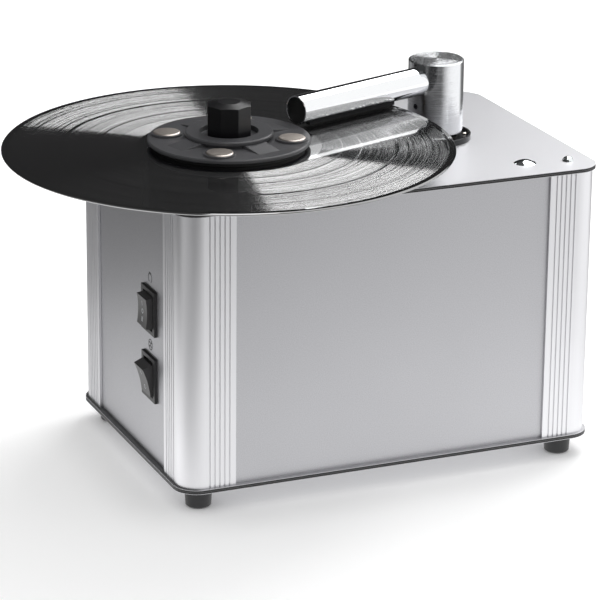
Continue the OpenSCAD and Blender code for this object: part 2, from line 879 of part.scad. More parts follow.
// Eight-sided knob with a shallow cone turned on its top
module clamp_knob() {
    low = clamp_top_z + knob_rise;
    tall = knob_top_z - low;
    wide = knob_r + 1;
    pocket = insert_h + 0.1;
    color("#232325") on_spindle(low) difference() {
        intersection() {
            rotate(2) cylinder(r = knob_r, h = tall, $fn = 8);
            rotate_extrude() polygon([
                [0, 0], [wide, 0], [wide, tall - knob_fall * (wide - knob_flat_r)],
                [knob_flat_r, tall], [0, tall]]);
        }
        translate([0, 0, -1]) cylinder(r = insert_r + press_gap, h = 1 + pocket);
        translate([0, 0, pocket - 1]) cylinder(r = spindle_r + 0.35, h = pin_top_z - low - pocket + 2);
    }
}

module knob_insert() {
    color("#b08d4a") on_spindle(clamp_top_z + knob_rise) ring(insert_r, spindle_r + 0.1, insert_h);
}

// Places the arm's fixed parts on the arm axis
module on_arm(z) {
    in_frame() translate([arm_x, arm_y, z]) children();
}

// Places what lies along the tube: its axis becomes +X
module along_tube() {
    on_arm(tube_z) rotate(tube_angle) children();
}

module at_flange_screws() {
    for (a = [30, 150, 270]) rotate(a + tube_angle) translate([flange_screw_r, 0, 0]) children();
}

module arm_flange() {
    color("#1e1e20") on_arm(deck_z) difference() {
        cylinder(r = flange_r, h = flange_h);
        translate([0, 0, pan_floor_t]) cylinder(r = flange_r - flange_rim, h = flange_h);
        translate([0, 0, -1]) cylinder(r = bush_r + press_gap, h = flange_h + 2);
        at_flange_screws() translate([0, 0, -1]) cylinder(r = flange_stem_r + press_gap, h = flange_h);
    }
}

module flange_screws() {
    color("#c6c1b8") on_arm(deck_z + pan_floor_t) at_flange_screws() {
        rotate_extrude() polygon([[0, 0], [1.9, 0], [1.9, 0.7], [1.2, 1.2], [0, 1.3]]);
        translate([0, 0, -flange_screw_len]) cylinder(r = flange_stem_r, h = flange_screw_len + tiny);
    }
}

// Bush in the top plate that guides the lift sleeve
module arm_bush() {
    color("#b08d4a") on_arm(0) difference() {
        union() {
            translate([0, 0, top_z - bush_flange_t]) cylinder(r = bush_flange_r, h = bush_flange_t);
            translate([0, 0, top_z - tiny]) cylinder(r = bush_r, h = plate_t + pan_floor_t + bush_lip);
        }
        translate([0, 0, top_z - bush_flange_t - 1])
            cylinder(r = sleeve_r + slide_gap, h = bush_flange_t + plate_t + pan_floor_t + bush_lip + 2);
    }
}

module lift_sleeve() {
    color("#bfc2c5") on_arm(0) difference() {
        union() {
            translate([0, 0, sleeve_z]) cylinder(r = sleeve_r, h = sleeve_top_z - sleeve_z);
            translate([0, 0, collar_top_z - collar_t]) cylinder(r = collar_r, h = collar_t);
        }
        translate([0, 0, sleeve_z - 1]) cylinder(r = sleeve_bore_r, h = sleeve_top_z - sleeve_z + 2);
    }
}

// Points round the wire of the return spring, its end turns closed up
function spring_point(i, s) = let(
    a = 360 * i / spring_steps,
    b = 360 * s / spring_sides,
    turns = i / spring_steps,
    lead = min(max(turns - 1, 0), spring_turns - 2) / (spring_turns - 2),
    flat = 2 * spring_wire_r + 0.1,
    z = flat * min(turns, 1) + flat * max(turns - spring_turns + 1, 0) + (spring_h - 2 * flat) * lead,
    r = spring_r + spring_wire_r * cos(b)
) [r * cos(a), r * sin(a), z + spring_wire_r * sin(b)];

module arm_spring() {
    rings = spring_turns * spring_steps;
    points = [for (i = [0 : rings], s = [0 : spring_sides - 1]) spring_point(i, s)];
    n = spring_sides;
    walls = [for (i = [0 : rings - 1], s = [0 : n - 1]) each [
        [i * n + s, i * n + (s + 1) % n, (i + 1) * n + s],
        [i * n + (s + 1) % n, (i + 1) * n + (s + 1) % n, (i + 1) * n + s]]];
    caps = [for (s = [1 : n - 2]) each [[0, s + 1, s], [rings * n, rings * n + s, rings * n + s + 1]]];
    color("#9a9da1") on_arm(spring_z) polyhedron(points, concat(walls, caps));
}

module arm_column() {
    color("#c3c5c8") on_arm(column_z) difference() {
        rotate_extrude() polygon([
            [0, 0], [column_r - 0.5, 0], [column_r, 0.5], [column_r, column_h - 0.9],
            [column_r - 0.9, column_h], [0, column_h]]);
        translate([0, 0, -1]) cylinder(r = sleeve_r + slide_gap, h = sleeve_top_z - column_z + 1 + 0.2);
        translate([0, 0, -1]) cylinder(r = sleeve_r - 1.4, h = column_h - 4 + 1);
        rotate(tube_angle) translate([0, 0, tube_z - column_z]) rotate([0, 90, 0])
            cylinder(r = tube_r + press_gap, h = column_r + 1);
        rotate(tube_angle) translate([sleeve_r, 0, grub_z - column_z]) rotate([0, 90, 0])
            cylinder(r = grub_r + press_gap, h = column_r);
    }
}

// Grub screw under the tube
module grub_screw() {
    color("#3a3b3d") on_arm(grub_z) rotate(tube_angle) translate([sleeve_r + 0.4, 0, 0]) rotate([0, 90, 0])
        difference() {
            cylinder(r = grub_r, h = column_r - sleeve_r - 0.8);
            translate([0, 0, column_r - sleeve_r - 2.4]) cylinder(r = 1.1, h = 3, $fn = 6);
        }
}

module suction_tube() {
    start = sleeve_r + slide_gap + 0.4;
    color("#d9dcdf") along_tube() difference() {
        translate([start, 0, 0]) rotate([0, 90, 0]) cylinder(r = tube_r, h = tube_len - start);
        translate([start - 1, 0, 0]) rotate([0, 90, 0]) cylinder(r = tube_r - tube_wall, h = tube_len + 2);
        translate([slot_from, -suction_slot_w / 2, -tube_r - 1])
            cube([slot_to - slot_from, suction_slot_w, tube_r]);
    }
}

// Plug that closes the tube a little way inside its open end
module tube_end_plug() {
    color("#151515") along_tube() translate([tube_len - end_plug_in, 0, 0]) rotate([0, 90, 0])
        cylinder(r = tube_r - tube_wall - press_gap, h = end_plug_len);
}

module suction_pads() {
    color("#101012") along_tube() difference() {
        for (turn = [0, 1]) mirror([0, turn, 0]) translate([slot_from, suction_slot_w / 2, -tube_r - pad_out])
            cube([slot_to - slot_from, pad_w, tube_r / 2]);
        rotate([0, 90, 0]) cylinder(r = tube_r, h = tube_len);
    }
}

// Outline of the tank, drawn in by a wall and hollowed round the bosses of the two posts beside it
module tank_outline(wall) {
    difference() {
        translate([tank_x, 0]) square([tank_w - 2 * wall, tank_d - 2 * wall], center = true);
        for (sy = [-1, 1]) translate([post_x - boss_at, sy * (post_y - boss_at)])
            circle(r = boss_r + boss_room + wall);
    }
}

// Open box under the lid, with a hole in its floor for the air riser
module waste_tank() {
    color("#e4e2da") in_frame() difference() {
        translate([0, 0, tank_z]) linear_extrude(tank_h) tank_outline(0);
        translate([0, 0, tank_z + tank_floor_t]) linear_extrude(tank_h) tank_outline(tank_wall);
        translate([blower_x, blower_y, tank_z - 1]) cylinder(r = inlet_r + press_gap, h = tank_floor_t + 2);
    }
}

// Lid with a cup for the arm's spring and necks for the drain and vent plugs
module tank_lid() {
    color("#dcdad2") in_frame() difference() {
        union() {
            translate([0, 0, lid_z]) linear_extrude(lid_t) tank_outline(0);
            translate([arm_x, arm_y, cup_floor_z]) cylinder(r = cup_r + cup_wall, h = cup_depth);
            translate([drain_x, drain_y, lid_z])
                cylinder(r = drain_hole_r + drain_neck_wall, h = top_z - lid_z);
            translate([vent_x, vent_y, lid_z]) cylinder(r = vent_hole_r + vent_neck_wall, h = top_z - lid_z);
        }
        translate([arm_x, arm_y, cup_floor_z + cup_floor_t]) cylinder(r = cup_r, h = cup_depth);
        translate([arm_x, arm_y, cup_floor_z - 1]) cylinder(r = sleeve_r + pass_gap, h = cup_floor_t + 2);
        translate([drain_x, drain_y, lid_z - 1]) cylinder(r = drain_hole_r - 0.2, h = top_z);
        translate([vent_x, vent_y, lid_z - 1]) cylinder(r = vent_hole_r, h = top_z);
    }
}

// Dome on the deck with a stem down into its neck
module plug(x, y, dome_r, dome_h, stem_r, stem_len) {
    ball_r = (dome_r * dome_r + dome_h * dome_h) / (2 * dome_h);
    in_frame() translate([x, y, deck_z]) {
        rotate_extrude() intersection() {
            translate([0, dome_h - ball_r]) circle(r = ball_r);
            square([dome_r + 1, dome_h + 1]);
        }
        translate([0, 0, -stem_len]) cylinder(r = stem_r, h = stem_len + tiny);
    }
}

module drain_plug() {
    color("#d4d8db") difference() {
        plug(drain_x, drain_y, drain_r, drain_dome_h, drain_stem_r, drain_stem_len);
        in_frame() translate([drain_x, drain_y, deck_z]) for (z = seal_at)
            translate([0, 0, -z]) rotate_extrude() translate([drain_stem_r, 0]) circle(r = seal_groove_r);
    }
}

// Two sealing rings in grooves round the drain plug's stem
module drain_seals() {
    color("#171717") in_frame() translate([drain_x, drain_y, deck_z]) for (z = seal_at)
        translate([0, 0, -z]) rotate_extrude() translate([drain_stem_r - seal_in, 0]) circle(r = seal_r);
}

module vent_plug() {
    color("#d4d8db") plug(vent_x, vent_y, vent_r, vent_dome_h, vent_stem_r, vent_stem_len);
}

// Pipe from the blower's inlet up to the top of the tank, above the liquid
module air_riser() {
    color("#d8d6ce") in_frame() translate([blower_x, blower_y, scroll_z + scroll_h])
        ring(inlet_r, inlet_bore_r, lid_z - riser_gap - scroll_z - scroll_h);
}

module blower_housing() {
    in_r = blower_r - scroll_wall;
    color("#26272a") in_frame() difference() {
        union() {
            translate([blower_x, blower_y, scroll_z]) cylinder(r = blower_r, h = scroll_h);
            translate([duct_x, blower_y, duct_z]) cube([duct_w, panel_y - panel_t - blower_y, duct_h]);
        }
        translate([blower_x, blower_y, scroll_z + scroll_wall])
            cylinder(r = in_r, h = scroll_h - 2 * scroll_wall);
        translate([duct_x + scroll_wall, blower_y, duct_z + scroll_wall])
            cube([duct_w - 2 * scroll_wall, 2 * blower_r, duct_h - 2 * scroll_wall]);
        translate([blower_x, blower_y, scroll_z + scroll_h / 2]) cylinder(r = inlet_bore_r, h = scroll_h);
        translate([blower_x, blower_y, scroll_z - 1]) cylinder(r = blower_shaft_r + 2, h = scroll_wall + 2);
    }
}

module blower_motor() {
    color("#77797d") in_frame() translate([blower_x, blower_y, blower_motor_z]) difference() {
        cylinder(r = blower_motor_r, h = blower_motor_h);
        translate([0, 0, blower_motor_h - blower_shaft_in - 0.5])
            cylinder(r = blower_shaft_r + slide_gap, h = blower_shaft_in + 1.5);
        for (i = [0 : vent_count - 1]) rotate(360 / vent_count * i)
            translate([blower_motor_r - 2, -vent_slot_w / 2, vent_slot_z])
                cube([4, vent_slot_w, vent_slot_h]);
    }
}

// Impeller with its shaft stub down in the motor
module impeller() {
    stub_z = -impeller_rise - blower_shaft_in;
    color("#c9cbcd") in_frame() translate([blower_x, blower_y, impeller_z]) {
        cylinder(r = impeller_r, h = impeller_disc_t);
        translate([0, 0, stub_z]) cylinder(r = blower_shaft_r, h = impeller_stub_h - stub_z);
        for (i = [0 : blade_count - 1]) rotate(360 / blade_count * i)
            translate([blade_from, -blade_t / 2, impeller_disc_t - 0.1])
                cube([impeller_r - blade_from - 1, blade_t, blade_h]);
        translate([0, 0, impeller_disc_t + blade_h - 0.2])
            ring(impeller_r - 0.5, inlet_bore_r + 2, impeller_disc_t);
    }
}

module blower_mount() {
    color("#151515") in_frame() translate([blower_x, blower_y, post_z])
        ring(blower_motor_r + mount_out, blower_motor_r - mount_in, mount_h);
}

// Louvred cover over the exhaust on the back panel
module exhaust_grille() {
    edge = 2;
    thick = 2;
    slats = 5;
    open = 0.7;
    pitch = (duct_h - 2 * scroll_wall) / slats;
    color("#1a1a1c") in_frame() translate([duct_x - edge, panel_y, duct_z - edge]) difference() {
        cube([duct_w + 2 * edge, thick, duct_h + 2 * edge]);
        for (i = [0 : slats - 1])
            translate([edge + scroll_wall, -1, edge + scroll_wall + (i + (1 - open) / 2) * pitch])
                cube([duct_w - 2 * scroll_wall, thick + 2, open * pitch]);
    }
}

// Bezel and body of a rocker switch, with the rocker's cavity and pivot holes
module switch_housing(z) {
    cavity_w = rocker_w + 2 * pass_gap;
    color("#1b1b1d") in_frame() translate([-panel_x, switch_y, z]) difference() {
        union() {
            translate([-bezel_t, -bezel_w / 2, -bezel_h / 2]) cube([bezel_t, bezel_w, bezel_h]);
            translate([-tiny, -body_w / 2, -body_h / 2]) cube([body_depth, body_w, body_h]);
            for (t = [-1, 0, 1])
                translate([body_depth - 1, -terminal_w / 2, t * terminal_pitch - terminal_t / 2])
                    cube([terminal_len + 1, terminal_w, terminal_t]);
        }
        translate([-bezel_t - 1, -cavity_w / 2, -cavity_h / 2])
            cube([bezel_t + cavity_depth, cavity_w, cavity_h]);
        rotate([90, 0, 0]) translate([0, 0, -body_w / 2 - 1])
            cylinder(r = pivot_r + slide_gap, h = body_w + 2);
    }
}

// Rocker on its pivot pin, with a hollow face, tilted about the pin
module rocker(z, tilt) {
    half = rocker_h / 2;
    bow_r = (half * half + rocker_hollow * rocker_hollow) / (2 * rocker_hollow);
    color("#2c2c2f") in_frame() translate([-panel_x, switch_y, z]) rotate([0, tilt, 0]) {
        rotate([90, 0, 0]) translate([0, 0, -rocker_w / 2]) linear_extrude(rocker_w) difference() {
            polygon([[-rocker_out, -half], [-rocker_out, half], [0, half + 1], [rocker_step, half - 1],
                [rocker_heel, rocker_heel_h], [rocker_heel, -rocker_heel_h],
                [rocker_step, 1 - half], [0, -half - 1]]);
            translate([-rocker_out + rocker_hollow - bow_r, 0]) circle(r = bow_r, $fn = 360);
        }
        rotate([90, 0, 0]) translate([0, 0, -body_w / 2 + pass_gap])
            cylinder(r = pivot_r, h = body_w - 2 * pass_gap);
    }
}

module motor_switch_housing() { switch_housing(motor_switch_z); }
module vacuum_switch_housing() { switch_housing(vacuum_switch_z); }
module motor_rocker() { rocker(motor_switch_z, 0); }
module vacuum_rocker() { rocker(vacuum_switch_z, -rocker_tilt); }

// Three-pin inlet: a flange outside the panel, a socket and its blades
module power_inlet() {
    pins = [[-blade_pitch, -blade_drop], [0, blade_drop], [blade_pitch, -blade_drop]];
    color("#19191b") in_frame() translate([inlet_x, panel_y, inlet_z]) {
        difference() {
            union() {
                translate([-inlet_flange_w / 2, 0, -inlet_flange_h / 2])
                    cube([inlet_flange_w, inlet_flange_t, inlet_flange_h]);
                translate([-inlet_w / 2, -inlet_depth, -inlet_h / 2])
                    cube([inlet_w, inlet_depth + tiny, inlet_h]);
            }
            translate([-socket_w / 2, inlet_back_t - inlet_depth, -socket_h / 2])
                cube([socket_w, inlet_depth, socket_h]);
            for (s = [-1, 1]) translate([s * inlet_hole_x, -1, 0]) rotate([-90, 0, 0])
                cylinder(r = inlet_hole_r, h = inlet_flange_t + 2);
        }
        for (p = pins) translate([p[0] - pin_w / 2, inlet_back_t - 1 - inlet_depth, p[1] - pin_h / 2])
            cube([pin_w, pin_len, pin_h]);
    }
}

// Circuit board on four pillars, with its parts as plain blocks
module control_board() {
    color("#2f6b45") in_frame() translate([board_x, board_y, post_z]) {
        translate([-board_w / 2, -board_d / 2, board_rise]) cube([board_w, board_d, board_t]);
        at_corners(board_w / 2 - pillar_in, board_d / 2 - pillar_in)
            cylinder(r = pillar_r, h = board_rise + tiny);
        translate([0, 0, board_rise + board_t - 0.1]) {
            for (i = [-1.5 : 1 : 1.5])
                translate([i * relay_pitch - relay_w / 2, board_d / 2 - relay_edge - relay_d, 0])
                    cube([relay_w, relay_d, relay_h]);
            translate([coil_x - coil_w / 2, coil_y - coil_d / 2, 0]) cube([coil_w, coil_d, coil_h]);
            translate([capacitor_x, capacitor_y, 0]) cylinder(r = capacitor_r, h = capacitor_h);
        }
    }
}

// One wire bundle along a list of points, as straight runs with ball bends
module wires(points) {
    for (i = [0 : len(points) - 2]) {
        d = points[i + 1] - points[i];
        translate(points[i]) rotate([0, acos(d[2] / norm(d)), atan2(d[1], d[0])])
            cylinder(r = wire_r, h = norm(d), $fn = 24);
        if (i > 0) sphere_at(points[i]);
    }
}

// Wires from the board to the inlet, the two switches, the gearmotor and the blower
module wiring_loom() {
    start = [board_x - board_w / 2 - joint_out, board_y, wire_z];
    switch_x = body_depth + terminal_len + wire_end - panel_x;
    trunk_x = switch_x + switch_turn;
    run_y = board_y - board_d / 2 - board_turn;
    side_x = blower_x - blower_motor_r - blower_turn;
    side_z = blower_motor_z + 5;
    color("#333236") in_frame() {
        sphere_at(start);
        wires([start, [board_x - board_w / 2 - wire_end, board_y, wire_z]]);
        wires([start, [inlet_turn_x, panel_y - inlet_turn_y, wire_z],
            [inlet_wire_x, panel_y - inlet_wire_y, inlet_z],
            [inlet_wire_x, panel_y - inlet_depth - wire_end, inlet_z]]);
        wires([start, [trunk_x, switch_y, wire_z], [trunk_x, switch_y, vacuum_switch_z],
            [trunk_x, switch_y, under_motor_z], [spindle_x, spindle_y, under_motor_z],
            [spindle_x, spindle_y, motor_low_z - wire_end]]);
        wires([[trunk_x, switch_y, under_motor_z], [trunk_x, switch_y, motor_switch_z],
            [switch_x, switch_y, motor_switch_z]]);
        wires([[trunk_x, switch_y, vacuum_switch_z], [switch_x, switch_y, vacuum_switch_z]]);
        wires([start, [start[0], run_y, wire_z], [side_x, run_y, wire_z],
            [side_x, blower_y, side_z], [blower_x - blower_motor_r - wire_end, blower_y, side_z]]);
    }
}

// Ball where a wire bends
module sphere_at(p) {
    translate(p) sphere(r = wire_r * wire_bend, $fn = 24);
}

top_plate_core();
top_plate_skins();
bottom_plate_core();
bottom_plate_skins();
post_front_left();
post_front_right();
post_back_left();
post_back_right();
front_panel();
back_panel();
left_panel();
right_panel();
feet();
foot_screws();
post_screws();
spindle_bearing();
spindle();
platter();
platter_mat();
record();
shaft_coupling();
gear_shaft();
gearmotor();
motor_bracket();
bracket_standoffs();
clamp_disc();
clamp_gasket();
clamp_hub();
clamp_weights();
clamp_knob();
knob_insert();
arm_flange();
flange_screws();
arm_bush();
lift_sleeve();
arm_spring();
arm_column();
grub_screw();
suction_tube();
tube_end_plug();
suction_pads();
waste_tank();
tank_lid();
drain_plug();
drain_seals();
vent_plug();
air_riser();
blower_housing();
blower_motor();
impeller();
blower_mount();
exhaust_grille();
motor_switch_housing();
motor_rocker();
vacuum_switch_housing();
vacuum_rocker();
power_inlet();
control_board();
wiring_loom();
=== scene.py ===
"""Dresses a record cleaning machine: its finishes, its switch marks and a white studio.

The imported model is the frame. Every piece made here takes its place from that frame, in metres.
"""
import json
import logging
import math
from abc import ABC, abstractmethod
from dataclasses import dataclass
from enum import Enum

import bpy
import numpy as np
from mathutils import Matrix, Vector


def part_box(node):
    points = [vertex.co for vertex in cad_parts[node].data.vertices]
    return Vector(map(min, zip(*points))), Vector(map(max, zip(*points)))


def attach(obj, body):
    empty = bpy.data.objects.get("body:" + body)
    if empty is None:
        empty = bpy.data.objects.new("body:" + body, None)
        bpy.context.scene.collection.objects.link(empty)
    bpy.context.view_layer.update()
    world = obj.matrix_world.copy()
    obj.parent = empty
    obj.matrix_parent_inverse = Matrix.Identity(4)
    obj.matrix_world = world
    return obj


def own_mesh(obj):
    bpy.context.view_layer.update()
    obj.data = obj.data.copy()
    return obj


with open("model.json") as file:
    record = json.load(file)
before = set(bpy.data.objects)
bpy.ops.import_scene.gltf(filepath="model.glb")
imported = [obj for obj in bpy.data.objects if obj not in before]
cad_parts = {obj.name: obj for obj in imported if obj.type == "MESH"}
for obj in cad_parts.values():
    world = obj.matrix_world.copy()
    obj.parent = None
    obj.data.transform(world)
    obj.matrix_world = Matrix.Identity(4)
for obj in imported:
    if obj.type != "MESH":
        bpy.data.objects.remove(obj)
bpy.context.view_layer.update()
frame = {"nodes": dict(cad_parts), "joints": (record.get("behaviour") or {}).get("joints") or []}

logging.basicConfig(level=logging.INFO, format="%(message)s")
log = logging.getLogger("scene")

MM = 0.001
WHITE = (1.0, 1.0, 1.0, 1.0)
UP = (0.0, 0.0, 1.0)
ARC_POINTS = 49
BAR_POINTS = 9
FLOOR_POINTS = 5
LAMP_POINTS = 3
Colour = tuple[float, float, float]
Point = tuple[float, float, float]
Spot = tuple[float, float]


class Sock:
    """A node's output, on which shader maths is written with operators."""

    def __init__(self, shader: "Shader", socket: bpy.types.NodeSocket) -> None:
        """Keeps the socket and the shader that it belongs to."""
        self.shader = shader
        self.socket = socket

    def _math(self, operation: str, first: "Sock | float", second: "Sock | float" = 0.0) -> "Sock":
        """One Math node on one or two values."""
        return self.shader.node("ShaderNodeMath", {"operation": operation}, {0: first, 1: second})

    def __add__(self, other: "Sock | float") -> "Sock":
        """The sum."""
        return self._math("ADD", self, other)

    def __sub__(self, other: "Sock | float") -> "Sock":
        """The difference."""
        return self._math("SUBTRACT", self, other)

    def __rsub__(self, other: float) -> "Sock":
        """The difference, with the number first."""
        return self._math("SUBTRACT", other, self)

    def __mul__(self, other: "Sock | float") -> "Sock":
        """The product."""
        return self._math("MULTIPLY", self, other)

    def __rmul__(self, other: float) -> "Sock":
        """The product, with the number first."""
        return self._math("MULTIPLY", other, self)

    def __truediv__(self, other: "Sock | float") -> "Sock":
        """The quotient."""
        return self._math("DIVIDE", self, other)

    def __gt__(self, other: "Sock | float") -> "Sock":
        """1 where this is greater, otherwise 0."""
        return self._math("GREATER_THAN", self, other)

    def __lt__(self, other: "Sock | float") -> "Sock":
        """1 where this is less, otherwise 0."""
        return self._math("LESS_THAN", self, other)

    def __abs__(self) -> "Sock":
        """The size without its sign."""
        return self._math("ABSOLUTE", self)

    def floor(self) -> "Sock":
        """The whole number at or below this."""
        return self._math("FLOOR", self)

    def sign(self) -> "Sock":
        """-1 or 1, as this is below or above 0."""
        return self._math("SIGN", self)

    def spread(self, middle: float, width: float) -> "Sock":
        """Turns 0 to 1 into a range of that width about a middle."""
        return self * width + (middle - width / 2)


class Shader:
    """The tree of nodes of one material, or of the world."""

    def __init__(self, owner: bpy.types.Material | bpy.types.World) -> None:
        """Empties the owner's tree."""
        owner.use_nodes = True
        self.owner = owner
        self.tree = owner.node_tree
        self.tree.nodes.clear()

    def node(self, kind: str, settings: dict, inputs: dict, output: int | str = 0) -> Sock:
        """Adds one node.

        Args:
            kind: The node's type.
            settings: Its properties, set first; stops holds a colour ramp's positions and values.
            inputs: The value or link of each socket, by name or number.
            output: The output that is wanted.

        Returns:
            That output.
        """
        made = self.tree.nodes.new(kind)
        for key, value in settings.items():
            if key == "stops":
                self._ramp(made.color_ramp, value)
            else:
                setattr(made, key, value)
        for key, value in inputs.items():
            if isinstance(value, Sock):
                self.tree.links.new(value.socket, made.inputs[key])
            else:
                made.inputs[key].default_value = value
        return Sock(self, made.outputs[output])

    def _ramp(self, ramp: bpy.types.ColorRamp, stops: tuple[Spot, ...]) -> None:
        """Sets a ramp's grey stops, given as position and value."""
        while len(ramp.elements) < len(stops):
            ramp.elements.new(1.0)
        for element, (position, value) in zip(ramp.elements, stops):
            element.position = position
            element.color = (value, value, value, 1.0)

    def coords(self) -> Sock:
        """The piece's own coordinates, in metres."""
        return self.node("ShaderNodeTexCoord", {}, {}, "Object")

    def normal(self) -> Sock:
        """The surface's normal, in world space."""
        return self.node("ShaderNodeNewGeometry", {}, {}, "Normal")

    def ray(self, kind: str) -> Sock:
        """1 for the rays that the Light Path's output of that name stands for, otherwise 0."""
        return self.node("ShaderNodeLightPath", {}, {}, kind)

    def split(self, vector: Sock) -> tuple[Sock, Sock, Sock]:
        """A vector's three parts."""
        made = self.tree.nodes.new("ShaderNodeSeparateXYZ")
        self.tree.links.new(vector.socket, made.inputs[0])
        return tuple(Sock(self, out) for out in made.outputs)

    def vector(self, operation: str, first: "Sock | Point", second: "Sock | Point | None" = None,
               scale: "Sock | float | None" = None, output: int | str = 0) -> Sock:
        """One Vector Math node."""
        inputs: dict = {0: first}
        if second is not None:
            inputs[1] = second
        if scale is not None:
            inputs["Scale"] = scale
        return self.node("ShaderNodeVectorMath", {"operation": operation}, inputs, output)

    def level(self, x: Sock, y: Sock, centre: Point | Spot) -> Sock:
        """The level vector to a place from the upright axis through the centre."""
        return self.node("ShaderNodeCombineXYZ", {}, {0: x - centre[0], 1: y - centre[1]})

    def length(self, vector: Sock) -> Sock:
        """A vector's length."""
        return self.vector("LENGTH", vector, output="Value")

    def noise(self, coords: Sock, scale: float, detail: float = 2.0) -> Sock:
        """Soft noise from 0 to 1, with that many cells a metre."""
        return self.node("ShaderNodeTexNoise", {}, {"Vector": coords, "Scale": scale, "Detail": detail})

    def tint(self, colour: "Colour | Sock", other: Colour, factor: Sock) -> Sock:
        """A colour between two, by a factor."""
        first = colour if isinstance(colour, Sock) else (*colour, 1.0)
        inputs = {0: factor, 6: first, 7: (*other, 1.0)}
        return self.node("ShaderNodeMix", {"data_type": "RGBA"}, inputs, 2)

    def bump(self, height: Sock, distance: float, normal: Sock | None = None) -> Sock:
        """A normal from a height of 0 to 1 that stands for that distance in metres."""
        inputs: dict = {"Height": height, "Distance": distance, "Strength": 1.0}
        if normal is not None:
            inputs["Normal"] = normal
        return self.node("ShaderNodeBump", {}, inputs)

    def soft_edges(self, radius: float) -> Sock:
        """A normal that rounds the edges by that radius in metres."""
        return self.node("ShaderNodeBevel", {"samples": 4}, {"Radius": radius})

    def groove(self, coordinate: Sock, pitch: float) -> Sock:
        """A number from -1 to 1 for each groove.

        Args:
            coordinate: What runs across the grooves, in metres.
            pitch: The width of one groove, in metres.

        Returns:
            The number, the same all along a groove.
        """
        step = (coordinate / pitch).floor()
        return self.node("ShaderNodeTexWhiteNoise", {"noise_dimensions": "1D"}, {"W": step}) * 2.0 - 1.0

    def leaning(self, direction: Sock, lean: Sock) -> Sock:
        """The surface's normal, leaned by that slope along a unit vector of world space."""
        aside = self.vector("SCALE", direction, scale=lean)
        return self.vector("NORMALIZE", self.vector("ADD", self.normal(), aside))

    def to_world(self, direction: Sock) -> Sock:
        """A direction of the piece's own space, turned into world space."""
        settings = {"vector_type": "VECTOR", "convert_from": "OBJECT", "convert_to": "WORLD"}
        return self.node("ShaderNodeVectorTransform", settings, {0: direction})

    def glow(self, strength: "Sock | float", kind: str = "ShaderNodeEmission") -> Sock:
        """White light of that strength."""
        return self.node(kind, {}, {"Color": WHITE, "Strength": strength})

    def end(self, surface: Sock, kind: str = "ShaderNodeOutputMaterial") -> None:
        """Ends the tree in an output node of that kind."""
        output = self.tree.nodes.new(kind)
        self.tree.links.new(surface.socket, output.inputs["Surface"])

    def surface(self, inputs: dict) -> bpy.types.Material:
        """Ends the tree in a Principled shader with those inputs, and returns the material."""
        self.end(self.node("ShaderNodeBsdfPrincipled", {}, inputs))
        return self.owner


@dataclass(frozen=True)
class Fade:
    """A smooth rise from 0 at the start to 1 at the end."""

    start: float
    end: float

    def of(self, value: Sock) -> Sock:
        """The rise at that value."""
        inputs = {"Value": value, "From Min": self.start, "From Max": self.end}
        return value.shader.node("ShaderNodeMapRange", {"interpolation_type": "SMOOTHSTEP"}, inputs)


def shade(colour: Colour, factor: float, lift: float = 0.0) -> Colour:
    """A colour times a factor, plus a lift, no lighter than white."""
    return tuple(min(1.0, part * factor + lift) for part in colour)


class Finish(ABC):
    """How the surface of one substance looks.

    Grain and clouds are noises, fine and wide, with that many cells a metre. A gloss range is how
    far noise varies the roughness. Relief is how deep the grain is and edge how far the edges are
    rounded, both in metres.
    """

    @abstractmethod
    def material(self, name: str) -> bpy.types.Material:
        """Makes the finish as a material of that name."""


@dataclass(frozen=True)
class Satin(Finish):
    """Anodised or plated metal with a fine speckle."""

    colour: Colour
    roughness: float = 0.38
    speckle: float = 0.06
    grain: float = 2600.0
    relief: float = 0.004 * MM
    edge: float = 0.25 * MM
    clouds: float = 18.0
    grain_gloss_range: float = 0.08
    cloud_gloss_range: float = 0.06

    def material(self, name: str) -> bpy.types.Material:
        """Speckle moves the colour, the roughness and the normal, and wide clouds the roughness."""
        shader = Shader(bpy.data.materials.new(name))
        coords = shader.coords()
        fine = shader.noise(coords, self.grain, 3.0)
        cloud = shader.noise(coords, self.clouds)
        dark = shade(self.colour, 1.0 - self.speckle)
        light = shade(self.colour, 1.0 + self.speckle)
        gloss = cloud.spread(self.roughness, self.cloud_gloss_range)
        return shader.surface({
            "Base Color": shader.tint(dark, light, fine),
            "Metallic": 1.0,
            "Roughness": fine.spread(0.0, self.grain_gloss_range) + gloss,
            "Normal": shader.bump(fine, self.relief, shader.soft_edges(self.edge)),
        })


@dataclass(frozen=True)
class Turned(Finish):
    """Metal turned on a lathe, about the upright axis through a centre.

    The slopes are those of the grooves' walls, on the side and on the flat top, where the normal's
    upright part is more than the top normal. The top's roughness is added to that of the side.
    """

    colour: Colour
    centre: Point
    roughness: float = 0.16
    slope: float = 0.3
    top_slope: float = 0.7
    top_roughness: float = 0.14
    top_normal: float = 0.7
    pitch: float = 0.05 * MM
    grain: float = 900.0
    darkest: float = 0.9
    gloss_range: float = 0.1

    def material(self, name: str) -> bpy.types.Material:
        """Grooves run round the side and round the flat top, so each one spreads the light its own way."""
        shader = Shader(bpy.data.materials.new(name))
        coords = shader.coords()
        x, y, z = shader.split(coords)
        flat = shader.level(x, y, self.centre)
        outward = shader.to_world(shader.vector("NORMALIZE", flat))
        top = abs(shader.split(shader.normal())[2]) > self.top_normal
        side = 1.0 - top
        upward = shader.vector("SCALE", UP, scale=side)
        direction = shader.vector("ADD", upward, shader.vector("SCALE", outward, scale=top))
        groove = shader.groove(z * side + shader.length(flat) * top, self.pitch)
        steepest = top * self.top_slope + side * self.slope
        tone = shader.noise(coords, self.grain)
        return shader.surface({
            "Base Color": shader.tint(shade(self.colour, self.darkest), self.colour, tone),
            "Metallic": 1.0,
            "Roughness": tone.spread(self.roughness, self.gloss_range) + top * self.top_roughness,
            "Normal": shader.leaning(direction, groove * groove * groove * steepest),
        })


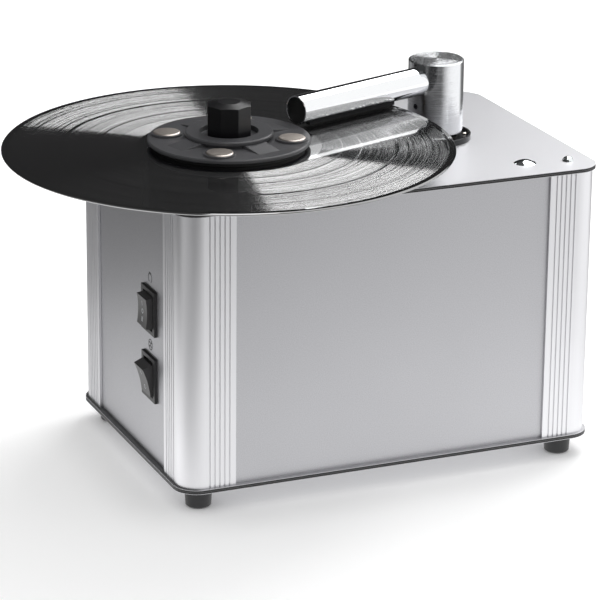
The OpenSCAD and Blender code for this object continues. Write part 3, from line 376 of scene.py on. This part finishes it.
@dataclass(frozen=True)
class Vinyl(Finish):
    """A pressed record: grooves under a smooth gloss, a smooth rim and run-out, and a paper label.

    Radii and the pitch are in metres. Bands are a noise with that many cells a metre, and walls turns
    it into a factor for the slope. Groove and paper add their roughness to that of the rim.
    """

    centre: Point
    label: float = 0.0498
    groove_from: float = 0.0615
    groove_to: float = 0.1462
    pitch: float = 0.04 * MM
    gentle: float = 0.28
    steep: float = 0.78
    bands: float = 300.0
    walls: tuple[Spot, ...] = ((0.30, 0.2), (0.42, 0.9), (0.6, 1.0))
    black: Colour = (0.003, 0.003, 0.0035)
    lighter: Colour = (0.006, 0.006, 0.007)
    paper: Colour = (0.20, 0.035, 0.03)
    roughness: float = 0.08
    groove_roughness: float = 0.04
    paper_roughness: float = 0.35
    index: float = 3.9
    coat_roughness: float = 0.04
    coat_index: float = 1.5

    def material(self, name: str) -> bpy.types.Material:
        """Each groove shows its inner or its outer wall, less steep in the quiet bands.

        A wall's slope is between gentle and steep, times a factor that changes with the radius.
        """
        shader = Shader(bpy.data.materials.new(name))
        x, y, _ = shader.split(shader.coords())
        flat = shader.level(x, y, self.centre)
        radius = shader.length(flat)
        outward = shader.to_world(shader.vector("NORMALIZE", flat))
        grooved = (radius > self.groove_from) * (radius < self.groove_to)
        on_label = radius < self.label
        band = shader.node("ShaderNodeTexNoise", {"noise_dimensions": "1D"},
                           {"W": radius, "Scale": self.bands, "Detail": 3.0})
        wall = shader.node("ShaderNodeValToRGB", {"stops": self.walls}, {0: band})
        groove = shader.groove(radius, self.pitch)
        slope = abs(groove) * (self.steep - self.gentle) + self.gentle
        black = shader.tint(self.black, self.lighter, band)
        return shader.surface({
            "Base Color": shader.tint(black, self.paper, on_label),
            "Roughness": grooved * self.groove_roughness + on_label * self.paper_roughness + self.roughness,
            "Normal": shader.leaning(outward, groove.sign() * slope * wall * grooved),
            "IOR": self.index,
            "Coat Weight": 1.0 - on_label,
            "Coat Roughness": self.coat_roughness,
            "Coat IOR": self.coat_index,
        })


@dataclass(frozen=True)
class Moulded(Finish):
    """Plastic, rubber or felt, with a fine matt texture."""

    colour: Colour
    roughness: float = 0.45
    grain: float = 3500.0
    relief: float = 0.02 * MM
    edge: float = 0.3 * MM
    clouds: float = 60.0
    lightest: float = 1.25
    lift: float = 0.002
    gloss_range: float = 0.12

    def material(self, name: str) -> bpy.types.Material:
        """Fine noise lifts the surface a little, and a wide one varies its colour and its gloss."""
        shader = Shader(bpy.data.materials.new(name))
        coords = shader.coords()
        fine = shader.noise(coords, self.grain)
        wide = shader.noise(coords, self.clouds, 3.0)
        return shader.surface({
            "Base Color": shader.tint(self.colour, shade(self.colour, self.lightest, self.lift), wide),
            "Roughness": wide.spread(self.roughness, self.gloss_range),
            "Normal": shader.bump(fine, self.relief, shader.soft_edges(self.edge)),
        })


@dataclass(frozen=True)
class Chrome(Finish):
    """Polished metal with faint polishing marks."""

    colour: Colour = (0.88, 0.89, 0.90)
    roughness: float = 0.05
    clouds: float = 120.0
    darkest: float = 0.97
    gloss_range: float = 0.04
    edge: float = 0.15 * MM

    def material(self, name: str) -> bpy.types.Material:
        """Wide noise varies the colour and a very low roughness."""
        shader = Shader(bpy.data.materials.new(name))
        wide = shader.noise(shader.coords(), self.clouds, 4.0)
        return shader.surface({
            "Base Color": shader.tint(shade(self.colour, self.darkest), self.colour, wide),
            "Metallic": 1.0,
            "Roughness": wide.spread(self.roughness, self.gloss_range),
            "Normal": shader.soft_edges(self.edge),
        })


@dataclass(frozen=True)
class PaintedHighlightCore(Finish):
    """The black middle of a plate, whose edge has a lighter line half way up: a painted highlight that
    stands in for a groove catching the light.

    Low and high are the heights of the middle's faces, and line half the line's width, in metres.
    """

    low: float
    high: float
    line: float = 0.14 * MM
    grain: float = 1800.0
    relief: float = 0.02 * MM
    black: Colour = (0.012, 0.012, 0.013)
    highlight_grey: Colour = (0.16, 0.16, 0.165)
    highlight_share: float = 0.8
    highlight_range: float = 0.6
    roughness: float = 0.45
    gloss_range: float = 0.2

    def material(self, name: str) -> bpy.types.Material:
        """The colour is lighter within the line, a painted highlight."""
        shader = Shader(bpy.data.materials.new(name))
        coords = shader.coords()
        height = shader.split(coords)[2]
        near = abs(height - (self.low + self.high) / 2) < self.line
        fine = shader.noise(coords, self.grain)
        # painted highlight: a lighter band of colour half way up the core's edge
        painted_highlight = near * fine.spread(self.highlight_share, self.highlight_range)
        return shader.surface({
            "Base Color": shader.tint(self.black, self.highlight_grey, painted_highlight),
            "Roughness": fine.spread(self.roughness, self.gloss_range),
            "Normal": shader.bump(fine, self.relief),
        })


STEEL = Satin((0.66, 0.67, 0.68), 0.3)


def middle(node: str) -> Point:
    """The middle of a CAD node's box, in metres."""
    low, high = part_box(node)
    return tuple((low + high) / 2)


def dress(name: str, finish: Finish, *nodes: str) -> None:
    """Gives CAD nodes one material, of that name and finish, in every slot."""
    material = finish.material(name)
    for node in nodes:
        slots = frame["nodes"][node].data.materials
        slots.clear()
        slots.append(material)
        log.info("dressed %s", node)


def sheet_of(name: str, grids: list[np.ndarray], thickness: float) -> bpy.types.Object:
    """Makes one object of several grids of points, each given a thickness.

    Args:
        name: The object's name.
        grids: Arrays of rows, columns and 3, in metres.
        thickness: How thick the sheets become, in metres, half of it to each side of their points.

    Returns:
        The object.
    """
    points: list[np.ndarray] = []
    faces: list[np.ndarray] = []
    start = 0
    for grid in grids:
        rows, columns = grid.shape[:2]
        at = np.arange(rows * columns).reshape(rows, columns) + start
        quads = np.stack([at[:-1, :-1], at[1:, :-1], at[1:, 1:], at[:-1, 1:]], axis=-1)
        points.append(grid.reshape(-1, 3))
        faces.append(quads.reshape(-1, 4))
        start += rows * columns
    mesh = bpy.data.meshes.new(name)
    mesh.from_pydata(np.concatenate(points).tolist(), [], np.concatenate(faces).tolist())
    mesh.update()
    piece = bpy.data.objects.new(name, mesh)
    bpy.context.scene.collection.objects.link(piece)
    wall = piece.modifiers.new("wall", "SOLIDIFY")
    wall.thickness = thickness
    wall.offset = 0.0
    return piece


def arc_patch(centre: Spot, radius: float, width: float, start: float, end: float) -> np.ndarray:
    """A stretch of ring in a plane, from one angle to another, in degrees."""
    turns = np.radians(np.linspace(start, end, ARC_POINTS))
    angles, across = np.meshgrid(turns, np.array([-0.5, 0.5]), indexing="ij")
    reach = radius + width * across
    return np.stack([centre[0] + reach * np.cos(angles), centre[1] + reach * np.sin(angles)], axis=-1)


def bar_patch(start: Spot, end: Spot, width: float, end_width: float) -> np.ndarray:
    """A straight bar in a plane, whose width runs evenly from one value to another."""
    first = np.array(start)
    last = np.array(end)
    along = (last - first) / np.linalg.norm(last - first)
    beside = np.array([-along[1], along[0]])
    share, across = np.meshgrid(np.linspace(0, 1, BAR_POINTS), np.array([-0.5, 0.5]), indexing="ij")
    reach = (width + (end_width - width) * share) * across
    return first + share[..., None] * (last - first) + reach[..., None] * beside


class Mark(Enum):
    """A generic mark on a rocker."""

    OFF = "O"
    ONE = "I"
    TWO = "II"


@dataclass
class Switches:
    """The rocker switches on the left side, their marks and the pictograms above them.

    Lengths are in metres and angles in degrees. A rocker's face is hollow by that depth over its
    height, and lies that far out from the pivot at its ends.
    """

    housing: Moulded = Moulded((0.030, 0.030, 0.031), 0.42)
    rocker: Moulded = Moulded((0.060, 0.059, 0.060), 0.36, relief=0.01 * MM)
    paint: Moulded = Moulded((0.62, 0.64, 0.66), 0.5)
    ink: Moulded = Moulded((0.02, 0.02, 0.022), 0.5)
    rocker_out: float = 6.5 * MM
    hollow: float = 0.9 * MM
    face_h: float = 21.0 * MM
    vacuum_tilt: float = -15.0
    lift: float = 0.04 * MM
    print_t: float = 0.05 * MM
    mark_h: float = 3.4 * MM
    mark_line: float = 0.55 * MM
    mark_step: float = 5.6 * MM
    off_share: float = 0.42
    two_half: float = 0.7 * MM
    sign_r: float = 3.3 * MM
    sign_gap: float = 7.2 * MM
    turn_line: float = 0.7 * MM
    turn_half: float = 62.0
    arrow_angle: float = 28.0
    arrow_length: float = 1.9 * MM
    arrow_width: float = 2.2 * MM
    arrow_tip: float = 0.05 * MM
    fan_more_r: float = 0.4 * MM
    fan_line: float = 0.6 * MM
    blade_from: float = 0.4 * MM
    blade_to: float = 2.7 * MM
    blade_root: float = 0.5 * MM
    blade_end: float = 2.1 * MM
    blade_angles: tuple[int, ...] = (45, 135, 225, 315)

    def mark_patches(self, mark: Mark, z: float) -> list[np.ndarray]:
        """A mark's flat patches as y and z, in metres, at that height above the rocker's middle."""
        if mark is Mark.OFF:
            return [arc_patch((0.0, z), self.mark_h * self.off_share, self.mark_line, 0, 360)]
        spots = (0.0,) if mark is Mark.ONE else (-self.two_half, self.two_half)
        low, high = z - self.mark_h / 2, z + self.mark_h / 2
        return [bar_patch((y, low), (y, high), self.mark_line, self.mark_line) for y in spots]

    def rocker_marks(self, body: str, joint: str, tilt: float, marks: list[tuple[Mark, float]]) -> None:
        """Puts marks on a rocker's hollow face.

        The face is the arc x = -out + hollow - bow + sqrt(bow^2 - z^2) about the pivot, turned by the tilt.

        Args:
            body: The rocker's body.
            joint: The joint that gives the pivot.
            tilt: How far the rocker leans at rest, in degrees.
            marks: Each mark and its height on the face.
        """
        pivot = next(np.array(j["pos_m"]) for j in frame["joints"] if j["name"] == joint)
        half = self.face_h / 2
        bow = (half * half + self.hollow * self.hollow) / (2 * self.hollow)
        turn = math.radians(tilt)
        grids = []
        for mark, height in marks:
            for patch in self.mark_patches(mark, height):
                y, z = patch[..., 0], patch[..., 1]
                x = -self.rocker_out + self.hollow - bow + np.sqrt(bow * bow - z * z) - self.lift
                turned_x = x * math.cos(turn) + z * math.sin(turn)
                turned_z = z * math.cos(turn) - x * math.sin(turn)
                grids.append(np.stack([turned_x, y, turned_z], axis=-1) + pivot)
        piece = sheet_of(body + "_marks", grids, self.print_t)
        piece.data.materials.append(self.paint.material(body + "_paint"))
        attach(piece, body)
        log.info("made %s", piece.name)

    def _print(self, name: str, patches: list[np.ndarray]) -> None:
        """Prints flat patches, given as y and z, on the left panel."""
        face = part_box("left_panel")[0].x - self.lift
        grids = [np.concatenate([np.full((*p.shape[:2], 1), face), p], axis=-1) for p in patches]
        piece = sheet_of(name, grids, self.print_t)
        piece.data.materials.append(self.ink.material(name + "_ink"))
        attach(piece, "case")
        log.info("made %s", piece.name)

    def _above(self, low: Vector, high: Vector) -> Spot:
        """The middle of the sign above a switch with that box, as y and z in metres."""
        return (low.y + high.y) / 2, high.z + self.sign_gap

    def turning_sign(self) -> None:
        """A ring in two halves, each with an arrow head, for the two ways that the platter turns."""
        y, z = self._above(*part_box("motor_switch_housing"))
        patches = []
        for side in (-1, 1):
            facing = 90 - side * 90
            patches.append(arc_patch((y, z), self.sign_r, self.turn_line,
                                     facing - self.turn_half, facing + self.turn_half))
            angle = math.radians(90 - side * self.arrow_angle)
            foot = (y + self.sign_r * math.cos(angle), z + self.sign_r * math.sin(angle))
            way = (-side * math.sin(angle), side * math.cos(angle))
            tip = (foot[0] + way[0] * self.arrow_length, foot[1] + way[1] * self.arrow_length)
            patches.append(bar_patch(foot, tip, self.arrow_width, self.arrow_tip))
        self._print("turning_sign", patches)

    def suction_sign(self) -> None:
        """A fan of four blades with a ring round it."""
        fan = self._above(*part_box("vacuum_switch_housing"))
        patches = [arc_patch(fan, self.sign_r + self.fan_more_r, self.fan_line, 0, 360)]
        for angle in self.blade_angles:
            way = np.array([math.cos(math.radians(angle)), math.sin(math.radians(angle))])
            near = tuple(fan + way * self.blade_from)
            far = tuple(fan + way * self.blade_to)
            patches.append(bar_patch(near, far, self.blade_root, self.blade_end))
        self._print("suction_sign", patches)

    def build(self) -> None:
        """Makes everything on the switches."""
        dress("switch_frame", self.housing, "motor_switch_housing", "vacuum_switch_housing")
        dress("switch_rocker", self.rocker, "motor_rocker", "vacuum_rocker")
        step = self.mark_step
        self.rocker_marks("motor_rocker", "motor_rocker_tilt", 0.0,
                          [(Mark.ONE, step), (Mark.OFF, 0.0), (Mark.TWO, -step)])
        self.rocker_marks("vacuum_rocker", "vacuum_rocker_tilt", self.vacuum_tilt,
                          [(Mark.ONE, step), (Mark.OFF, -step)])
        self.turning_sign()
        self.suction_sign()


@dataclass
class Case:
    """Plates, posts, panels and feet."""

    plate: Satin = Satin((0.65, 0.65, 0.67), 0.48, speckle=0.03)
    post: Satin = Satin((0.80, 0.80, 0.82), 0.40, speckle=0.02, relief=0.002 * MM)
    panel: Satin = Satin((0.52, 0.52, 0.54), 0.44, speckle=0.22, grain=1400.0, relief=0.008 * MM)
    foot: Moulded = Moulded((0.016, 0.016, 0.017), 0.5)
    screw: Satin = Satin((0.62, 0.62, 0.63), 0.3)

    def build(self) -> None:
        """Dresses the case."""
        dress("satin_plate", self.plate, "top_plate_skins", "bottom_plate_skins")
        for node in ("top_plate_core", "bottom_plate_core"):
            low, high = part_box(node)
            dress(node + "_black", PaintedHighlightCore(low.z, high.z), node)
        dress("satin_post", self.post,
              "post_front_left", "post_front_right", "post_back_left", "post_back_right")
        dress("satin_panel", self.panel, "front_panel", "back_panel", "left_panel", "right_panel")
        dress("foot_rubber", self.foot, "feet")
        dress("zinc", self.screw, "foot_screws", "post_screws")


@dataclass
class Drive:
    """Platter, record and what turns them."""

    shaft: Colour = (0.62, 0.62, 0.64)
    black: Moulded = Moulded((0.035, 0.035, 0.037), 0.4)
    mat: Moulded = Moulded((0.02, 0.02, 0.02), 0.7)
    bearing: Satin = Satin((0.60, 0.42, 0.20), 0.3)
    grey: Moulded = Moulded((0.28, 0.29, 0.30), 0.4)

    def build(self) -> None:
        """Dresses the drive and the record."""
        centre = middle("record")
        dress("vinyl", Vinyl(centre), "record")
        dress("ground_steel", Turned(self.shaft, centre), "spindle", "gear_shaft")
        dress("platter_black", self.black, "platter")
        dress("mat_rubber", self.mat, "platter_mat")
        dress("bearing_bronze", self.bearing, "spindle_bearing")
        dress("bright_steel", STEEL, "shaft_coupling", "motor_bracket", "bracket_standoffs")
        dress("motor_grey", self.grey, "gearmotor")


@dataclass
class Clamp:
    """The record clamp and its knob."""

    body: Moulded = Moulded((0.060, 0.060, 0.064), 0.32, relief=0.008 * MM, edge=0.7 * MM)
    knob: Moulded = Moulded((0.003, 0.003, 0.004), 0.34, relief=0.008 * MM, edge=0.5 * MM)
    rubber: Moulded = Moulded((0.010, 0.010, 0.010), 0.6)
    nickel: Satin = Satin((0.66, 0.60, 0.55), 0.38, speckle=0.1, grain=500.0)
    brass: Satin = Satin((0.62, 0.44, 0.2), 0.3)

    def build(self) -> None:
        """Dresses the clamp."""
        dress("clamp_black", self.body, "clamp_disc", "clamp_hub")
        dress("knob_black", self.knob, "clamp_knob")
        dress("clamp_rubber", self.rubber, "clamp_gasket")
        dress("weight_nickel", self.nickel, "clamp_weights")
        dress("insert_brass", self.brass, "knob_insert")


@dataclass
class Arm:
    """The suction arm and what carries it. The travel is how far it can be pressed down, in metres."""

    column: Colour = (0.80, 0.81, 0.83)
    column_roughness: float = 0.12
    column_slope: float = 0.12
    sleeve: Colour = (0.62, 0.62, 0.64)
    tube: Chrome = Chrome()
    dish: Moulded = Moulded((0.022, 0.022, 0.024), 0.28, relief=0.004 * MM)
    screw: Satin = Satin((0.66, 0.62, 0.56), 0.25)
    bush: Satin = Satin((0.06, 0.055, 0.05), 0.4)
    grub: Satin = Satin((0.10, 0.10, 0.11), 0.3)
    spring: Satin = Satin((0.55, 0.56, 0.57), 0.28)
    plug: Moulded = Moulded((0.008, 0.008, 0.008), 0.6)
    felt: Moulded = Moulded((0.010, 0.010, 0.011), 0.9, relief=0.12 * MM)
    travel: float = 1.8 * MM

    def squeeze_spring(self) -> None:
        """Gives the spring a mesh of its own."""
        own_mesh(frame["nodes"]["arm_spring"])

    def build(self) -> None:
        """Dresses the arm."""
        self.squeeze_spring()
        centre = middle("arm_column")
        dress("turned_aluminium", Turned(self.column, centre, self.column_roughness, self.column_slope),
              "arm_column")
        dress("ground_sleeve", Turned(self.sleeve, centre), "lift_sleeve")
        dress("tube_chrome", self.tube, "suction_tube")
        dress("dish_black", self.dish, "arm_flange")
        dress("screw_nickel", self.screw, "flange_screws")
        dress("oiled_bronze", self.bush, "arm_bush")
        dress("grub_steel", self.grub, "grub_screw")
        dress("spring_steel", self.spring, "arm_spring")
        dress("tube_plug", self.plug, "tube_end_plug")
        dress("pad_felt", self.felt, "suction_pads")


@dataclass
class Works:
    """Tank, plugs, blower and electrics."""

    natural: Moulded = Moulded((0.74, 0.73, 0.68), 0.4)
    plug: Chrome = Chrome((0.86, 0.89, 0.90), 0.08)
    seal: Moulded = Moulded((0.012, 0.012, 0.012), 0.5)
    black: Moulded = Moulded((0.04, 0.04, 0.043), 0.4)
    motor: Satin = Satin((0.45, 0.46, 0.48), 0.35)
    board: Moulded = Moulded((0.05, 0.24, 0.11), 0.35)
    wire: Moulded = Moulded((0.03, 0.03, 0.033), 0.5)

    def build(self) -> None:
        """Dresses what the case holds and the plugs on its deck."""
        dress("tank_plastic", self.natural, "waste_tank", "tank_lid", "air_riser")
        dress("plug_chrome", self.plug, "drain_plug", "vent_plug")
        dress("seal_rubber", self.seal, "drain_seals", "blower_mount")
        dress("blower_black", self.black, "blower_housing", "exhaust_grille")
        dress("motor_case", self.motor, "blower_motor")
        dress("impeller_metal", STEEL, "impeller")
        dress("inlet_black", self.black, "power_inlet")
        dress("board_green", self.board, "control_board")
        dress("wire_black", self.wire, "wiring_loom")


@dataclass
class Camera:
    """The photograph's point of view, with colours shown as they are written.

    The lens and the sensor are in millimetres, and the other lengths in metres.
    """

    eye: Point = (-0.80044, -1.89317, 0.84242)
    target: Point = (0.024025, 0.053875, 0.10486)
    roll: float = 0.54
    lens: float = 190.94
    sensor: float = 36.0
    furthest: float = 60.0

    def build(self) -> None:
        """Aims the camera at the target and leans it by the roll, in degrees."""
        data = bpy.data.cameras.new("camera")
        data.lens = self.lens
        data.sensor_width = self.sensor
        data.clip_end = self.furthest
        camera = bpy.data.objects.new("camera", data)
        back = (Vector(self.eye) - Vector(self.target)).normalized()
        right = Vector(UP).cross(back).normalized()
        up = back.cross(right)
        roll = math.radians(self.roll)
        across = right * math.cos(roll) + up * math.sin(roll)
        upward = up * math.cos(roll) - right * math.sin(roll)
        turn = Matrix((across, upward, back)).transposed().to_4x4()
        camera.matrix_world = Matrix.Translation(self.eye) @ turn
        bpy.context.scene.collection.objects.link(camera)
        bpy.context.scene.camera = camera
        bpy.context.scene.view_settings.view_transform = "Standard"


@dataclass
class Floor:
    """A pale floor that the camera sees as white, with the shadow kept.

    Shiny surfaces see it dark but for four glowing patches: near, in front of the case; left, beside
    it; outer, further out on the left; and right. Each has its strength, where 1 is white.
    """

    half: float = 9.0
    z: float = -0.0003
    thickness: float = 0.0002
    paper: float = 0.86
    paper_in_metal: float = 0.16
    glow: float = 0.40
    contact: float = 0.055
    near: float = 0.98
    near_spot: Spot = (0.06, -0.16)
    near_edge: Fade = Fade(0.12, 0.55)
    left: float = 0.8
    left_x: float = -0.27
    left_sides: Fade = Fade(0.06, 0.22)
    left_front: Fade = Fade(-0.15, 0.05)
    left_back: Fade = Fade(0.3, 0.45)
    left_drop: float = 0.75
    outer: float = 0.42
    outer_y: float = -0.25
    outer_start: Fade = Fade(0.28, 0.5)
    outer_ends: Fade = Fade(0.2, 0.45)
    right: float = 1.05
    right_start: Fade = Fade(0.0, 0.8)
    right_back: Fade = Fade(0.0, 0.35)

    def build(self) -> None:
        """Makes the floor, whose glow is darkened by ambient occlusion within the contact distance of what
        stands on it: a painted contact shadow.
        """
        side = np.linspace(-self.half, self.half, FLOOR_POINTS)
        x, y = np.meshgrid(side, side, indexing="ij")
        grid = np.stack([x, y, np.full_like(x, self.z)], axis=-1)
        piece = sheet_of("floor", [grid[::-1]], self.thickness)
        shader = Shader(bpy.data.materials.new("floor_white"))
        seen = shader.ray("Is Camera Ray")
        mirrored = shader.ray("Is Glossy Ray")
        tone = shader.tint((self.paper,) * 3, (self.paper_in_metal,) * 3, mirrored)
        paper = shader.node("ShaderNodeBsdfDiffuse", {}, {"Color": tone})
        # ambient occlusion darkens the glow near the case: a painted contact shadow
        clear = shader.node("ShaderNodeAmbientOcclusion", {"samples": 8}, {"Distance": self.contact}, "AO")
        glow = shader.glow(seen * clear * self.glow + mirrored * self._patches(shader, clear))
        shader.end(shader.node("ShaderNodeAddShader", {}, {0: paper, 1: glow}))
        piece.data.materials.append(shader.owner)

    def _patches(self, shader: Shader, clear: Sock) -> Sock:
        """How strongly the patches glow; the left one is darkened close to the case by ambient occlusion, a
        painted shade, and fades towards the back.
        """
        x, y, _ = shader.split(shader.coords())
        near = 1.0 - self.near_edge.of(shader.length(shader.level(x, y, self.near_spot)))
        left = (1.0 - self.left_sides.of(abs(x - self.left_x))) * self.left_front.of(y)
        left = left * (1.0 - self.left_back.of(y) * self.left_drop) * clear
        outer = self.outer_start.of(-1.0 * x) * (1.0 - self.outer_ends.of(abs(y - self.outer_y)))
        right = self.right_start.of(x) * (1.0 - self.right_back.of(y))
        return near * self.near + left * self.left + outer * self.outer + right * self.right


@dataclass
class Softbox:
    """A glowing quadrilateral that the camera doesn't see.

    Its four corners are in metres, in order round it, and a strength of 1 is white.
    """

    name: str
    corners: tuple[Point, ...]
    strength: float
    thickness: float = 0.001

    def build(self) -> None:
        """Makes the lamp."""
        a, b, c, d = (np.array(corner) for corner in self.corners)
        share = np.linspace(0, 1, LAMP_POINTS)
        u, v = np.meshgrid(share, share, indexing="ij")
        u, v = u[..., None], v[..., None]
        grid = (1 - u) * (1 - v) * a + (1 - u) * v * b + u * v * c + u * (1 - v) * d
        piece = sheet_of(self.name, [grid], self.thickness)
        shader = Shader(bpy.data.materials.new(self.name + "_glow"))
        shader.end(shader.glow(self.strength))
        piece.data.materials.append(shader.owner)
        piece.visible_camera = False


@dataclass
class Lamps:
    """A lamp behind on the right, which draws the wedges on the record, one above and one in front.

    The rear lamp's corners are ways from the record's middle, all of them that far off in metres.
    """

    rear: float = 4.3
    rear_far: float = 1.7
    rear_ways: tuple[Point, ...] = (
        (0.12, -0.25, 0.96), (0.30, 0.59, 0.75), (0.50, 0.73, 0.46), (0.88, 0.33, 0.34))
    top: float = 2.0
    top_corners: tuple[Point, ...] = (
        (-0.5, -0.9, 1.9), (0.2, -0.9, 1.9), (0.2, -0.25, 1.9), (-0.5, -0.25, 1.9))
    front: float = 0.7
    front_corners: tuple[Point, ...] = (
        (0.5, -2.6, 0.1), (2.2, -1.9, 0.1), (2.2, -1.9, 1.6), (0.5, -2.6, 1.6))

    def build(self) -> None:
        """Makes the lamps."""
        spindle = np.array(middle("record"))
        rear_corners = tuple(tuple(spindle + self.rear_far * np.array(way)) for way in self.rear_ways)
        Softbox("rear_lamp", rear_corners, self.rear).build()
        Softbox("top_lamp", self.top_corners, self.top).build()
        Softbox("front_lamp", self.front_corners, self.front).build()


@dataclass
class Room:
    """The world: white to the camera and plain to matt surfaces.

    Shiny surfaces see dim walls behind and on the left, a dim ceiling and a bright patch on the
    right. Each has its strength, where 1 is white.
    """

    plain: float = 0.6
    ceiling: float = 0.08
    ceiling_edge: Fade = Fade(0.5, 0.8)
    left_wall: float = 0.04
    back_wall: float = 0.03
    behind: Point = (0.37, 0.93, 0.0)
    back_edge: Fade = Fade(0.15, 0.45)
    right_patch: float = 1.1
    beside: Point = (0.80, -0.40, 0.42)
    right_edge: Fade = Fade(0.52, 0.64)

    def build(self) -> None:
        """Makes the world."""
        world = bpy.data.worlds.new("studio")
        bpy.context.scene.world = world
        shader = Shader(world)
        way = shader.node("ShaderNodeTexCoord", {}, {}, "Generated")
        above = self.ceiling_edge.of(shader.split(way)[2])
        back = self.back_edge.of(shader.vector("DOT_PRODUCT", way, self.behind, output="Value"))
        right = self.right_edge.of(shader.vector("DOT_PRODUCT", way, self.beside, output="Value"))
        walls = back * self.back_wall + (1.0 - back) * self.left_wall
        dim = above * self.ceiling + (1.0 - above) * walls
        room = right * self.right_patch + (1.0 - right) * dim
        mirrored = shader.ray("Is Glossy Ray")
        seen = shader.ray("Is Camera Ray")
        unseen = self.plain * (1.0 - mirrored) + mirrored * room
        strength = unseen * (1.0 - seen) + seen
        shader.end(shader.glow(strength, "ShaderNodeBackground"), "ShaderNodeOutputWorld")


def main() -> None:
    """Sets up the studio and dresses every sub-assembly."""
    studio = (Camera(), Floor(), Lamps(), Room())
    machine = (Case(), Drive(), Clamp(), Arm(), Works(), Switches())
    for part in studio + machine:
        part.build()
        log.info("finished %s", type(part).__name__)


if __name__ == "__main__":
    main()
